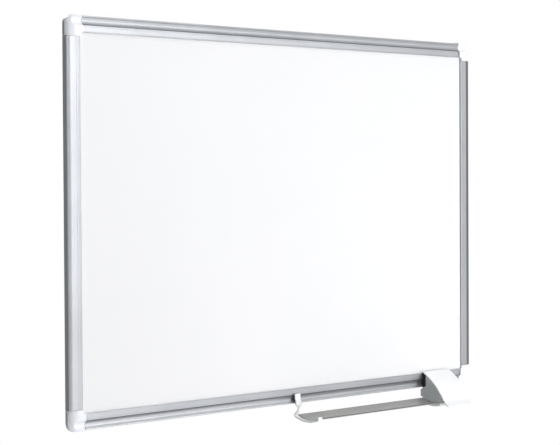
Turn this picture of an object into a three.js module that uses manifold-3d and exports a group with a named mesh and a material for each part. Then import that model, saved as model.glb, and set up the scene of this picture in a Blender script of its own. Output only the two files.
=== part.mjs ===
// Wall-mounted magnetic whiteboard with a sliding pen tray and an eraser parked on it.
// Millimetres, +Z up, X to the right, Y into the wall. The writing side faces -Y.
// The origin is the middle of the frame's back, on the wall.

import * as THREE from 'three';
import { mergeVertices } from 'three/addons/utils/BufferGeometryUtils.js';
import Module from 'manifold-3d';

const wasm = await Module();
wasm.setup();

// Overall sizes of the board.
const BOARD_WIDTH = 900;
const BOARD_HEIGHT = 600;
const FRAME_DEPTH = 10.5;
const RAIL_FACE = 24.2;
const RAIL_WALL = 1.2;

// Gaps between pieces that are put together, and the overrun of every cut.
const FIT_GAP = 0.3;
const GLUE_LINE = 0.1;
const OVERRUN = 1;

// The front lip that holds the panel down, and the back flange behind it.
const LIP_THICKNESS = 2;
const LIP_CHAMFER = 0.4;
const FLANGE_THICKNESS = 1;
const FLANGE_REACH = 18;
const CHAMBER_WIDTH = 14.4;

// Channel of the top and bottom rails, in which the tray slides.
const RIM_RADIUS = 1.2;
const CHANNEL_START = 1.9;
const CHANNEL_WIDTH = 10.6;
const CHANNEL_SAG = 2.3;
const CHANNEL_EDGE_DROP = 0.2;
const CHANNEL_FLOOR_WALL = 1.2;
const GROOVE_WIDTH = 1.3;
const GROOVE_DEPTH = 1.8;

// Fine lines drawn along the face of the rails.
const LINE_WIDTH = 0.4;
const LINE_DEPTH = 0.2;
const HORIZONTAL_LINES = [16, 22.6];
const VERTICAL_LINES = [16.6, 20.2];

// Rounded outer edge of the left and right rails, with its crease.
const SIDE_BAND = 7;
const SIDE_ROUND_WIDTH = 8.5;
const CREASE_WIDTH = 0.5;
const CREASE_DEPTH = 0.35;
const SIDE_WALL_TOP = 6.2;
const SIDE_WALL_LEAN = 0.4;

// The panel: a lacquered steel sheet, a core and a backing foil, trapped in the rails.
const PANEL_EDGE = 15;
const SHEET_THICKNESS = 0.5;
const FOIL_THICKNESS = 0.3;

// Corner caps, moulded in plastic.
const CAP_LEG_X = 28.4;
const CAP_LEG_Z = 31.4;
const CAP_PROUD = 1.8;
const CAP_FRONT_PROUD = 2;
const CAP_CORNER_RADIUS = 14;
const CAP_WALL = 1.3;
const CAP_POCKET_DEPTH = 4.5;
const CAP_SIDE_BAND = 5.2;
const CAP_TOP_BAND = 8.4;
const CAP_DOME = 2.5;
const CAP_SCOOP_START = 13.4;

// Steel corner keys that join the rails under the caps, and their screws.
const KEY_LEG = 64;
const KEY_WIDTH = 12;
const KEY_THICKNESS = 1.6;
const KEY_CORNER_RADIUS = 11;
const KEY_EDGE = 1.6;
const WALL_HOLE_RADIUS = 2.6;
const WALL_HOLE_PLACE = 10.5;
const SCREW_FROM_CORNER = 46;
const SCREW_RADIUS = 1.6;
const SCREW_LENGTH = 5.4;
const SCREW_HEAD_RADIUS = 2.9;
const SCREW_HEAD_HEIGHT = 1.2;
const SCREW_SOCKET_RADIUS = 1;
const SCREW_SOCKET_DEPTH = 0.7;
const SCREW_GAP = 0.1;

// The pen gutter of the tray. Heights are measured from the underside of the frame.
const GUTTER_LENGTH = 306;
const GUTTER_BACK = 13;
const GUTTER_DEPTH = 47.5;
const GUTTER_DROP = 16.2;
const GUTTER_TILT = 2.6;
const GUTTER_SAG = 5;
const GUTTER_THICKNESS = 1.4;
const BEAD_RADIUS = 0.9;

// The strips that carry the gutter, and the plates that hang them on the rail.
const STRIP_THICKNESS = 2;
const STRIP_WIDTH = 9.3;
const STRIP_UNDER_GUTTER = 1.8;
const NECK_WIDTH = 2.8;
const NECK_THICKNESS = 1.6;
const NECK_TO_RIGHT = 1;
const PLATE_WIDTH = 10.6;
const PLATE_LEAD = 1;
const PLATE_TOP = 17.4;
const PLATE_BACK = 13.3;
const BULGE_OUT = 16.4;
const BULGE_HEIGHT = 0.2;
const HOLDER_PLATE_BACK = 13.8;
const HOLDER_PLATE_TOP = 14.6;
const HOLDER_PLATE_THICKNESS = 2.4;
const HOLDER_FLOOR_THICKNESS = 4.1;
const HOLDER_OVERLAP = 4.5;
const HOLDER_FRONT = 54.6;

// Black shoes between the plates and the channel.
const LEFT_SHOE_BOTTOM = -0.5;
const LEFT_SHOE_TOP = 17;
const RIGHT_SHOE_BOTTOM = 0.9;
const RIGHT_SHOE_FRONT = 17.2;
const RIGHT_SHOE_END = 1.4;

// The eraser that is parked at the right end of the tray.
const ERASER_WIDTH = 68.6;
const ERASER_FROM_SIDE = 61.1;
const ERASER_TOP_OUT = 11.3;
const ERASER_TOP_HEIGHT = 28.6;
const ERASER_TOE_OUT = 59.7;
const ERASER_TOE_DROP = 19.8;
const ERASER_CROWN = 4.7;
const ERASER_SKIN = 2;
const ERASER_LIP_LENGTH = 12.5;
const ERASER_LIP_SLOPE = THREE.MathUtils.degToRad(42);
const LIFT_SLOPE = THREE.MathUtils.degToRad(30);
const ERASER_TOP_CORNER = 2.5;
const ERASER_LEFT_TOE_CORNER = 2.5;
const ERASER_RIGHT_TOE_CORNER = 8;
const CHEEK_RECESS = 0.5;
const CHEEK_THICKNESS = 2;
const CHEEK_BACK = 5.8;
const CHEEK_BACK_TOP = 2.4;
const CHEEK_BACK_RISE = 2.6;
const CHEEK_FRONT_EDGE = 17.6;
const CHEEK_FOOT_OUT = 54.8;
const FELT_BACK = 20;
const FELT_FRONT = 53.5;
const FELT_TOP = 4;
const FELT_GAP = 0.4;

// How finely curves are cut.
const ARC_STEPS = 10;
const LONG_ARC_STEPS = 20;
const CORNER_STEPS = 10;
const ROUND_STEPS = 6;
const DOME_STEPS = 8;
const DOME_CROWDING = 1.5;
const BEAD_STEPS = 16;
const SCREW_STEPS = 16;
const SCOOP_STEPS = 40;
const RIBBON_SIDES = 4;
const HALVINGS = 40;

// Lines and levels that several pieces share.
const HALF_WIDTH = BOARD_WIDTH / 2;
const HALF_HEIGHT = BOARD_HEIGHT / 2;
const UNDERSIDE = -HALF_HEIGHT;
const LIP_BACK = -(FRAME_DEPTH - LIP_THICKNESS);
const SHEET_FRONT = LIP_BACK + FIT_GAP;
const PANEL_BACK = -(FLANGE_THICKNESS + FIT_GAP);
const CHANNEL_RADIUS = bowRadius(CHANNEL_WIDTH, CHANNEL_SAG);
const CHANNEL_HALF_ANGLE = Math.asin(CHANNEL_WIDTH / 2 / CHANNEL_RADIUS);
const CHANNEL_MIDDLE = CHANNEL_START + CHANNEL_WIDTH / 2;
const CHANNEL_FLOOR = -(FRAME_DEPTH - CHANNEL_EDGE_DROP - CHANNEL_SAG);
const CHANNEL_CENTRE = CHANNEL_FLOOR - CHANNEL_RADIUS;
const CAP_DEPTH = FRAME_DEPTH + CAP_FRONT_PROUD;

// Places along the tray, worked back from the board's right side.
const ERASER_RIGHT = HALF_WIDTH - ERASER_FROM_SIDE;
const ERASER_LEFT = ERASER_RIGHT - ERASER_WIDTH;
const GUTTER_RIGHT = ERASER_LEFT - FIT_GAP;
const GUTTER_LEFT = GUTTER_RIGHT - GUTTER_LENGTH;
const STRIP_RIGHT = GUTTER_LEFT + STRIP_UNDER_GUTTER;
const STRIP_LEFT = STRIP_RIGHT - STRIP_WIDTH;
const PLATE_LEFT = STRIP_LEFT - PLATE_LEAD;
const PLATE_RIGHT = PLATE_LEFT + PLATE_WIDTH;

// Radius of an arc from its chord and its sag.
function bowRadius(chord, sag) {
  return (chord * chord / 4 + sag * sag) / (2 * sag);
}

// A closed mesh as a solid that can be cut and joined.
function toSolid(geometry) {
  const bare = geometry.clone();
  bare.deleteAttribute('normal');
  bare.deleteAttribute('uv');
  const merged = mergeVertices(bare);
  return new wasm.Manifold(new wasm.Mesh({
    numProp: 3,
    vertProperties: new Float32Array(merged.attributes.position.array),
    triVerts: new Uint32Array(merged.index.array),
  }));
}

// A solid back as a mesh geometry.
function toGeometry(solid) {
  const mesh = solid.getMesh();
  const geometry = new THREE.BufferGeometry();
  geometry.setAttribute('position', new THREE.BufferAttribute(mesh.vertProperties, 3));
  geometry.setIndex(new THREE.BufferAttribute(mesh.triVerts, 1));
  return geometry;
}

// The first geometry with the others cut out of it.
function cut(base, ...tools) {
  const left = tools.reduce((solid, tool) => solid.subtract(toSolid(tool)), toSolid(base));
  return toGeometry(left);
}

// Several geometries joined into one.
function join(...pieces) {
  const joined = pieces.map(toSolid).reduce((sum, solid) => sum.add(solid));
  return toGeometry(joined);
}

// A section drawn in the plane of two axes and pushed along their cross product.
function prism(shape, length, steps = ARC_STEPS) {
  const geometry = new THREE.ExtrudeGeometry(shape, {
    depth: length,
    bevelEnabled: false,
    curveSegments: steps,
  });
  return geometry;
}

// Turns the axes of a prism so that its section lies along the two given directions.
function laid(geometry, first, second) {
  const third = new THREE.Vector3().crossVectors(first, second);
  return geometry.applyMatrix4(new THREE.Matrix4().makeBasis(first, second, third));
}

// A prism along X whose section is drawn with Y and Z.
function sidePrism(shape, from, to, steps = ARC_STEPS) {
  const turned = laid(prism(shape, to - from, steps), AXIS_Y, AXIS_Z);
  return turned.translate(from, 0, 0);
}

// A box between two corners.
function boxBetween(low, high) {
  const size = new THREE.Vector3().subVectors(high, low);
  const middle = new THREE.Vector3().addVectors(low, high).multiplyScalar(1 / 2);
  return new THREE.BoxGeometry(size.x, size.y, size.z).translate(middle.x, middle.y, middle.z);
}

// Mirrors a geometry across X and Z as told, and keeps its faces pointing out.
function mirrored(geometry, signX, signZ) {
  const turned = geometry.clone();
  turned.scale(signX, 1, signZ);
  if (signX * signZ < 0) {
    const index = turned.index.array;
    for (let i = 0; i < index.length; i += 3) {
      [index[i], index[i + 1]] = [index[i + 1], index[i]];
    }
  }
  return turned;
}

// Turns the faces of a closed mesh outwards if its volume comes out negative.
function facingOut(geometry) {
  const place = geometry.attributes.position;
  const index = geometry.index.array;
  const [a, b, c] = [new THREE.Vector3(), new THREE.Vector3(), new THREE.Vector3()];
  let volume = 0;
  for (let i = 0; i < index.length; i += 3) {
    a.fromBufferAttribute(place, index[i]);
    b.fromBufferAttribute(place, index[i + 1]);
    c.fromBufferAttribute(place, index[i + 2]);
    volume += a.dot(b.cross(c));
  }
  if (volume < 0) {
    for (let i = 0; i < index.length; i += 3) {
      [index[i], index[i + 1]] = [index[i + 1], index[i]];
    }
  }
  return geometry;
}

// A ribbon through stations, each with its own thickness and reach along X.
function ribbon(stations) {
  const points = [];
  const faces = [];
  stations.forEach((station, i) => {
    const before = stations[Math.max(i - 1, 0)];
    const after = stations[Math.min(i + 1, stations.length - 1)];
    const along = new THREE.Vector2(after.y - before.y, after.z - before.z).normalize();
    const across = new THREE.Vector2(-along.y, along.x).multiplyScalar(station.thickness / 2);
    points.push(station.from, station.y + across.x, station.z + across.y);
    points.push(station.to, station.y + across.x, station.z + across.y);
    points.push(station.to, station.y - across.x, station.z - across.y);
    points.push(station.from, station.y - across.x, station.z - across.y);
    if (i > 0) {
      const base = (i - 1) * RIBBON_SIDES;
      for (let k = 0; k < RIBBON_SIDES; k += 1) {
        const next = (k + 1) % RIBBON_SIDES;
        faces.push(base + k, base + next, base + RIBBON_SIDES + next);
        faces.push(base + k, base + RIBBON_SIDES + next, base + RIBBON_SIDES + k);
      }
    }
  });
  const end = (stations.length - 1) * RIBBON_SIDES;
  faces.push(0, 2, 1, 0, 3, 2);
  faces.push(end, end + 1, end + 2, end, end + 2, end + 3);
  const geometry = new THREE.BufferGeometry();
  geometry.setAttribute('position', new THREE.Float32BufferAttribute(points, 3));
  geometry.setIndex(faces);
  return facingOut(geometry);
}

const AXIS_X = new THREE.Vector3(1, 0, 0);
const AXIS_Y = new THREE.Vector3(0, 1, 0);
const AXIS_Z = new THREE.Vector3(0, 0, 1);

// An arc through two points that sags to one side, with its offsets.
class Bow {
  constructor(start, end, sag) {
    this.along = new THREE.Vector2().subVectors(end, start).normalize();
    this.inward = new THREE.Vector2(this.along.y, -this.along.x);
    const chord = start.distanceTo(end);
    this.radius = bowRadius(chord, sag);
    this.halfAngle = Math.asin(chord / 2 / this.radius);
    const middle = new THREE.Vector2().addVectors(start, end).multiplyScalar(1 / 2);
    this.centre = middle.addScaledVector(this.inward, this.radius - sag);
  }

  // Direction from the centre to the arc at an angle from its middle.
  outward(angle) {
    return new THREE.Vector2()
      .addScaledVector(this.inward, -Math.cos(angle))
      .addScaledVector(this.along, Math.sin(angle));
  }

  // Point at an angle from the arc's middle, set off from the arc.
  at(angle, offset) {
    return this.centre.clone().addScaledVector(this.outward(angle), this.radius + offset);
  }

  // Angle at which the arc, set off, reaches a given first coordinate.
  angleAt(first, offset) {
    let low = -this.halfAngle;
    let high = this.halfAngle;
    const rising = this.at(high, offset).x > this.at(low, offset).x;
    for (let i = 0; i < HALVINGS; i += 1) {
      const middle = (low + high) / 2;
      if ((this.at(middle, offset).x < first) === rising) low = middle;
      else high = middle;
    }
    return (low + high) / 2;
  }

  // Points between two angles.
  points(from, to, offset, steps) {
    return Array.from({ length: steps + 1 }, (_, i) => (
      this.at(from + (to - from) * i / steps, offset)
    ));
  }
}

// Places a small V groove in a straight line of an outline.
function lineGrooves(shape, places) {
  for (const place of places) {
    shape.lineTo(place - LINE_WIDTH / 2, -FRAME_DEPTH);
    shape.lineTo(place, -(FRAME_DEPTH - LINE_DEPTH));
    shape.lineTo(place + LINE_WIDTH / 2, -FRAME_DEPTH);
  }
}

// The end of the lip and the way back along its underside.
function lipEnd(shape) {
  shape.lineTo(RAIL_FACE - LIP_CHAMFER, -FRAME_DEPTH);
  shape.lineTo(RAIL_FACE, -(FRAME_DEPTH - LIP_CHAMFER));
  shape.lineTo(RAIL_FACE, LIP_BACK);
}

// The back flange, closing the section at the wall.
function backFlange(shape) {
  shape.lineTo(RAIL_WALL, -FLANGE_THICKNESS);
  shape.lineTo(FLANGE_REACH, -FLANGE_THICKNESS);
  shape.lineTo(FLANGE_REACH, 0);
  shape.closePath();
}

// Section of the top and bottom rails, drawn from the outer edge inwards.
function horizontalSection() {
  const shape = new THREE.Shape();
  const grooveStart = CHANNEL_START + CHANNEL_WIDTH;
  const grooveEnd = grooveStart + GROOVE_WIDTH;
  const grooveFloor = -(FRAME_DEPTH - GROOVE_DEPTH);
  const chamberFront = CHANNEL_FLOOR + CHANNEL_FLOOR_WALL;
  shape.moveTo(0, 0);
  shape.lineTo(0, -(FRAME_DEPTH - RIM_RADIUS));
  shape.absarc(RIM_RADIUS, -(FRAME_DEPTH - RIM_RADIUS), RIM_RADIUS, Math.PI, 3 * Math.PI / 2, false);
  shape.absarc(
    CHANNEL_MIDDLE, CHANNEL_CENTRE, CHANNEL_RADIUS,
    Math.PI / 2 + CHANNEL_HALF_ANGLE, Math.PI / 2 - CHANNEL_HALF_ANGLE, true,
  );
  shape.lineTo(grooveStart + LIP_CHAMFER / 2, grooveFloor);
  shape.lineTo(grooveEnd, grooveFloor);
  shape.lineTo(grooveEnd, -(FRAME_DEPTH - LIP_CHAMFER));
  shape.lineTo(grooveEnd + LIP_CHAMFER, -FRAME_DEPTH);
  lineGrooves(shape, HORIZONTAL_LINES);
  lipEnd(shape);
  shape.lineTo(CHAMBER_WIDTH, LIP_BACK);
  shape.lineTo(CHAMBER_WIDTH, chamberFront);
  shape.lineTo(RAIL_WALL, chamberFront);
  backFlange(shape);
  return shape;
}

// Section of the left and right rails, drawn from the outer edge inwards.
function verticalSection() {
  const shape = new THREE.Shape();
  shape.moveTo(0, 0);
  shape.lineTo(0, -(SIDE_BAND - CREASE_WIDTH));
  shape.lineTo(CREASE_DEPTH, -(SIDE_BAND - CREASE_WIDTH / 2));
  shape.lineTo(0, -SIDE_BAND);
  shape.absellipse(
    SIDE_ROUND_WIDTH, -SIDE_BAND, SIDE_ROUND_WIDTH, FRAME_DEPTH - SIDE_BAND,
    Math.PI, 3 * Math.PI / 2, false,
  );
  lineGrooves(shape, VERTICAL_LINES);
  lipEnd(shape);
  shape.lineTo(SIDE_ROUND_WIDTH, LIP_BACK);
  shape.lineTo(RAIL_WALL + SIDE_WALL_LEAN, -SIDE_WALL_TOP);
  backFlange(shape);
  return shape;
}

// The cutter for one screw: a straight hole with a countersink at the wall side.
function screwCutter() {
  const profile = [
    new THREE.Vector2(0, -OVERRUN),
    new THREE.Vector2(SCREW_HEAD_RADIUS + SCREW_GAP, -OVERRUN),
    new THREE.Vector2(SCREW_HEAD_RADIUS + SCREW_GAP, 0),
    new THREE.Vector2(SCREW_RADIUS + SCREW_GAP, SCREW_HEAD_HEIGHT + SCREW_GAP),
    new THREE.Vector2(SCREW_RADIUS + SCREW_GAP, SCREW_LENGTH + OVERRUN),
    new THREE.Vector2(0, SCREW_LENGTH + OVERRUN),
  ];
  return new THREE.LatheGeometry(profile, SCREW_STEPS).rotateX(Math.PI);
}

// A countersunk screw, its head flush with the wall side and its tip towards the front.
function screwBody() {
  const profile = [
    new THREE.Vector2(0, SCREW_SOCKET_DEPTH),
    new THREE.Vector2(SCREW_SOCKET_RADIUS, SCREW_SOCKET_DEPTH),
    new THREE.Vector2(SCREW_SOCKET_RADIUS, SCREW_GAP),
    new THREE.Vector2(SCREW_HEAD_RADIUS, SCREW_GAP),
    new THREE.Vector2(SCREW_RADIUS, SCREW_HEAD_HEIGHT),
    new THREE.Vector2(SCREW_RADIUS, SCREW_LENGTH - SCREW_RADIUS),
    new THREE.Vector2(0, SCREW_LENGTH),
  ];
  return facingOutLathe(new THREE.LatheGeometry(profile, SCREW_STEPS).rotateX(Math.PI));
}

// A lathe geometry with its seam and poles merged and its faces pointing out.
function facingOutLathe(geometry) {
  return toGeometry(toSolid(geometry));
}

// One rail: its section along its length, with a countersunk hole near each end.
function railGeometry(section, length, screwFromEnd) {
  const body = prism(section, length);
  const middle = KEY_EDGE + KEY_WIDTH / 2;
  const holes = [screwFromEnd, length - screwFromEnd].map((place) => (
    screwCutter().translate(middle, 0, place)
  ));
  return cut(body, ...holes);
}

// An L drawn from an outer corner, along X and Z, with a round outer corner.
function angleShape(insetX, insetZ, reachX, reachZ, width, radius) {
  const shape = new THREE.Shape();
  shape.moveTo(reachX, insetZ);
  shape.lineTo(insetX + radius, insetZ);
  shape.absarc(insetX + radius, insetZ + radius, radius, 3 * Math.PI / 2, Math.PI, true);
  shape.lineTo(insetX, reachZ);
  shape.lineTo(insetX + width, reachZ);
  shape.lineTo(insetX + width, insetZ + width);
  shape.lineTo(reachX, insetZ + width);
  shape.closePath();
  return shape;
}

// A plate of that L, between two depths.
function anglePlate(shape, front, back) {
  const plate = laid(prism(shape, back - front), AXIS_X, AXIS_Z);
  return plate.translate(0, back, 0);
}

// Straight lines across a cap, from its outer edge to its inner edge, in order round the corner.
function capColumns() {
  const radius = CAP_CORNER_RADIUS;
  const corner = new THREE.Vector2(RAIL_FACE, RAIL_FACE + CAP_PROUD);
  const columns = [];
  const add = (outer, inner) => columns.push({ outer, inner });
  add(new THREE.Vector2(CAP_LEG_X, 0), new THREE.Vector2(CAP_LEG_X, corner.y));
  add(new THREE.Vector2(corner.x, 0), corner);
  add(new THREE.Vector2((corner.x + radius) / 2, 0), corner);
  for (let i = 0; i <= CORNER_STEPS; i += 1) {
    const angle = i / CORNER_STEPS * Math.PI / 2;
    const inward = new THREE.Vector2(Math.sin(angle), Math.cos(angle));
    add(new THREE.Vector2(radius, radius).addScaledVector(inward, -radius), corner);
  }
  add(new THREE.Vector2(0, (corner.y + radius) / 2), corner);
  add(new THREE.Vector2(0, corner.y), corner);
  add(new THREE.Vector2(0, CAP_LEG_Z), new THREE.Vector2(corner.x, CAP_LEG_Z));
  return columns;
}

// Height of a cap's domed front over the wall: it falls away towards both outer edges.
function capFront(place) {
  const fall = (distance, width, full) => full * Math.max(1 - distance / width, 0) ** CAP_DOME;
  return CAP_DEPTH
    - fall(place.x, RAIL_FACE, CAP_DEPTH - CAP_SIDE_BAND)
    - fall(place.y, RAIL_FACE + CAP_PROUD, CAP_DEPTH - CAP_TOP_BAND);
}

// The outer form of a cap before its pocket and scoop are cut.
function capBlock() {
  const columns = capColumns();
  const rows = DOME_STEPS + 1;
  const points = [];
  const faces = [];
  for (const { outer, inner } of columns) {
    for (let k = 0; k < rows; k += 1) {
      const place = outer.clone().lerp(inner, (k / DOME_STEPS) ** DOME_CROWDING);
      points.push(place.x, -capFront(place), place.y);
      points.push(place.x, 0, place.y);
    }
  }
  const front = (i, k) => 2 * (i * rows + k);
  const back = (i, k) => front(i, k) + 1;
  const quad = (a, b, c, d) => faces.push(a, b, c, a, c, d);
  const last = columns.length - 1;
  for (let i = 0; i < last; i += 1) {
    for (let k = 0; k < rows - 1; k += 1) {
      quad(front(i, k), front(i + 1, k), front(i + 1, k + 1), front(i, k + 1));
      quad(back(i, k), back(i, k + 1), back(i + 1, k + 1), back(i + 1, k));
    }
    quad(front(i, 0), back(i, 0), back(i + 1, 0), front(i + 1, 0));
    quad(front(i, rows - 1), front(i + 1, rows - 1), back(i + 1, rows - 1), back(i, rows - 1));
  }
  for (let k = 0; k < rows - 1; k += 1) {
    quad(front(0, k), front(0, k + 1), back(0, k + 1), back(0, k));
    quad(front(last, k), back(last, k), back(last, k + 1), front(last, k + 1));
  }
  const geometry = new THREE.BufferGeometry();
  geometry.setAttribute('position', new THREE.Float32BufferAttribute(points, 3));
  geometry.setIndex(faces);
  return facingOut(geometry);
}

// The round-ended cutter that carries the rail's channel on into a cap.
function scoopCutter() {
  const radius = CHANNEL_RADIUS;
  const length = CAP_LEG_X - CAP_SCOOP_START + OVERRUN;
  const profile = new THREE.Path();
  profile.moveTo(0, -radius);
  profile.absarc(0, 0, radius, 3 * Math.PI / 2, 2 * Math.PI, false);
  profile.lineTo(radius, length);
  profile.lineTo(0, length);
  const lathe = new THREE.LatheGeometry(profile.getPoints(ARC_STEPS), SCOOP_STEPS);
  return lathe.rotateZ(-Math.PI / 2)
    .translate(CAP_SCOOP_START, CHANNEL_CENTRE, CAP_PROUD + CHANNEL_MIDDLE);
}

// A corner cap, drawn with its outer corner at the origin and its legs along +X and +Z.
function capGeometry() {
  const pocketWidth = PANEL_EDGE - CAP_WALL;
  const pocketShape = angleShape(
    CAP_WALL, CAP_WALL, CAP_LEG_X + OVERRUN, CAP_LEG_Z + OVERRUN,
    pocketWidth + CAP_PROUD, CAP_CORNER_RADIUS - CAP_WALL,
  );
  const pocket = anglePlate(pocketShape, -CAP_POCKET_DEPTH, OVERRUN);
  const panelRoom = boxBetween(
    new THREE.Vector3(PANEL_EDGE - FIT_GAP, LIP_BACK, PANEL_EDGE + CAP_PROUD - FIT_GAP),
    new THREE.Vector3(CAP_LEG_X + OVERRUN, OVERRUN, CAP_LEG_Z + OVERRUN),
  );
  return cut(capBlock(), scoopCutter(), pocket, panelRoom);
}

// A corner key with its wall hole and its two screw holes.
function keyGeometry() {
  const back = -(FLANGE_THICKNESS + FIT_GAP);
  const insetZ = KEY_EDGE + CAP_PROUD;
  const shape = angleShape(KEY_EDGE, insetZ, KEY_LEG, KEY_LEG, KEY_WIDTH, KEY_CORNER_RADIUS);
  const plate = anglePlate(shape, back - KEY_THICKNESS, back);
  const wallHole = new THREE.CylinderGeometry(
    WALL_HOLE_RADIUS, WALL_HOLE_RADIUS, FRAME_DEPTH, SCREW_STEPS,
  ).translate(WALL_HOLE_PLACE, back, WALL_HOLE_PLACE);
  return cut(
    plate,
    wallHole,
    screwCutter().translate(SCREW_FROM_CORNER, 0, insetZ + KEY_WIDTH / 2),
    screwCutter().translate(KEY_EDGE + KEY_WIDTH / 2, 0, SCREW_FROM_CORNER),
  );
}

// The arc of the gutter's inner face.
const GUTTER_BOW = new Bow(
  new THREE.Vector2(-GUTTER_BACK, UNDERSIDE - GUTTER_DROP),
  new THREE.Vector2(-GUTTER_BACK - GUTTER_DEPTH, UNDERSIDE - GUTTER_DROP - GUTTER_TILT),
  GUTTER_SAG,
);
const BEAD_OFFSET = GUTTER_THICKNESS / 2;
const STRIP_TOP_OFFSET = BEAD_OFFSET + BEAD_RADIUS + FIT_GAP;
const STRIP_OFFSET = STRIP_TOP_OFFSET + STRIP_THICKNESS / 2;
const FLOOR_OFFSET = STRIP_TOP_OFFSET + HOLDER_FLOOR_THICKNESS / 2;

// The gutter: a shallow trough with a round bead along each edge.
function gutterGeometry() {
  const { halfAngle } = GUTTER_BOW;
  const outline = [
    ...GUTTER_BOW.points(-halfAngle, halfAngle, 0, LONG_ARC_STEPS),
    ...GUTTER_BOW.points(halfAngle, -halfAngle, GUTTER_THICKNESS, LONG_ARC_STEPS),
  ];
  const trough = sidePrism(new THREE.Shape(outline), GUTTER_LEFT, GUTTER_RIGHT);
  const beads = [-halfAngle, halfAngle].map((angle) => {
    const middle = GUTTER_BOW.at(angle, BEAD_OFFSET);
    return new THREE.CylinderGeometry(BEAD_RADIUS, BEAD_RADIUS, GUTTER_LENGTH, BEAD_STEPS)
      .rotateZ(Math.PI / 2)
      .translate((GUTTER_LEFT + GUTTER_RIGHT) / 2, middle.x, middle.y);
  });
  return join(trough, ...beads);
}

// Points round a bead, from below it towards its free side.
function beadWrap(side, reach, turn, steps) {
  const angle = side * GUTTER_BOW.halfAngle;
  const middle = GUTTER_BOW.at(angle, BEAD_OFFSET);
  const down = GUTTER_BOW.outward(angle);
  const away = new THREE.Vector2(-down.y, down.x).multiplyScalar(-side);
  return Array.from({ length: steps + 1 }, (_, i) => {
    const bend = turn * i / steps;
    return middle.clone()
      .addScaledVector(down, reach * Math.cos(bend))
      .addScaledVector(away, reach * Math.sin(bend));
  });
}

const HEEL_TURN = THREE.MathUtils.degToRad(85);
const HOOK_TURN = THREE.MathUtils.degToRad(140);

// The centre line from the top of a plate down its neck and round the gutter's back bead.
function hangerLine(plateTop, plateOut, bulgeOut, heelReach) {
  const heel = beadWrap(-1, heelReach, HEEL_TURN, ROUND_STEPS).reverse();
  const foot = new THREE.Vector2(-bulgeOut, UNDERSIDE + BULGE_HEIGHT);
  const head = new THREE.Vector2(-plateOut, UNDERSIDE + plateTop);
  const curve = new THREE.CatmullRomCurve3([
    new THREE.Vector3(0, head.x, head.y),
    new THREE.Vector3(0, THREE.MathUtils.lerp(head.x, foot.x, UPPER_SWELL_SHARE), (head.y + foot.y) / 2),
    new THREE.Vector3(0, foot.x, foot.y),
    new THREE.Vector3(0, (foot.x + heel[0].x) / 2, (foot.y + heel[0].y) / 2),
    new THREE.Vector3(0, heel[0].x, heel[0].y),
  ]);
  const neck = curve.getSpacedPoints(ARC_STEPS * 2).slice(0, -1);
  return { neck: neck.map((p) => new THREE.Vector2(p.y, p.z)), heel };
}

const UPPER_SWELL_SHARE = 0.25;

// How far a height is from the waist under the rail, eased from nothing to one.
function fromWaist(height) {
  const waistHeight = UNDERSIDE - (GUTTER_DROP / 2 - BULGE_HEIGHT);
  const reach = GUTTER_DROP / 2 + BULGE_HEIGHT;
  const away = Math.min(Math.abs(height - waistHeight) / reach, 1);
  const ease = away * away * (3 - 2 * away);
  return { ease, above: height > waistHeight };
}

// A station of the left bracket's hanger, narrow and thin at its waist.
function waistedStation(point) {
  const { ease, above } = fromWaist(point.y);
  const full = above ? [PLATE_LEFT, PLATE_RIGHT] : [STRIP_LEFT, STRIP_RIGHT];
  const middle = (STRIP_LEFT + STRIP_RIGHT) / 2 + NECK_TO_RIGHT;
  const [from, to] = full.map((edge, i) => (
    THREE.MathUtils.lerp(middle + (i - 1 / 2) * NECK_WIDTH, edge, ease)
  ));
  const thickness = THREE.MathUtils.lerp(NECK_THICKNESS, STRIP_THICKNESS, ease);
  return { y: point.x, z: point.y, from, to, thickness };
}

const STRIP_REACH = BEAD_RADIUS + FIT_GAP + STRIP_THICKNESS / 2;
const LEFT_HANGER = hangerLine(PLATE_TOP, PLATE_BACK, BULGE_OUT, STRIP_REACH);

// The left bracket: plate, waist and a strip that goes under the gutter and hooks its front bead.
function leftBracketGeometry() {
  const { neck, heel } = LEFT_HANGER;
  const { halfAngle } = GUTTER_BOW;
  const under = GUTTER_BOW.points(-halfAngle, halfAngle, STRIP_OFFSET, LONG_ARC_STEPS);
  const hook = beadWrap(1, STRIP_REACH, HOOK_TURN, ARC_STEPS);
  const strip = [...heel, ...under.slice(1, -1), ...hook].map((point) => ({
    y: point.x,
    z: point.y,
    from: STRIP_LEFT,
    to: STRIP_RIGHT,
    thickness: STRIP_THICKNESS,
  }));
  return ribbon([...neck.map(waistedStation), ...strip]);
}

const CHEEK_LEFT = ERASER_LEFT + CHEEK_RECESS;
const CHEEK_RIGHT = ERASER_RIGHT - CHEEK_RECESS;
const INSIDE_LEFT = CHEEK_LEFT + CHEEK_THICKNESS + FELT_GAP;
const INSIDE_RIGHT = CHEEK_RIGHT - CHEEK_THICKNESS - FELT_GAP;

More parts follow.
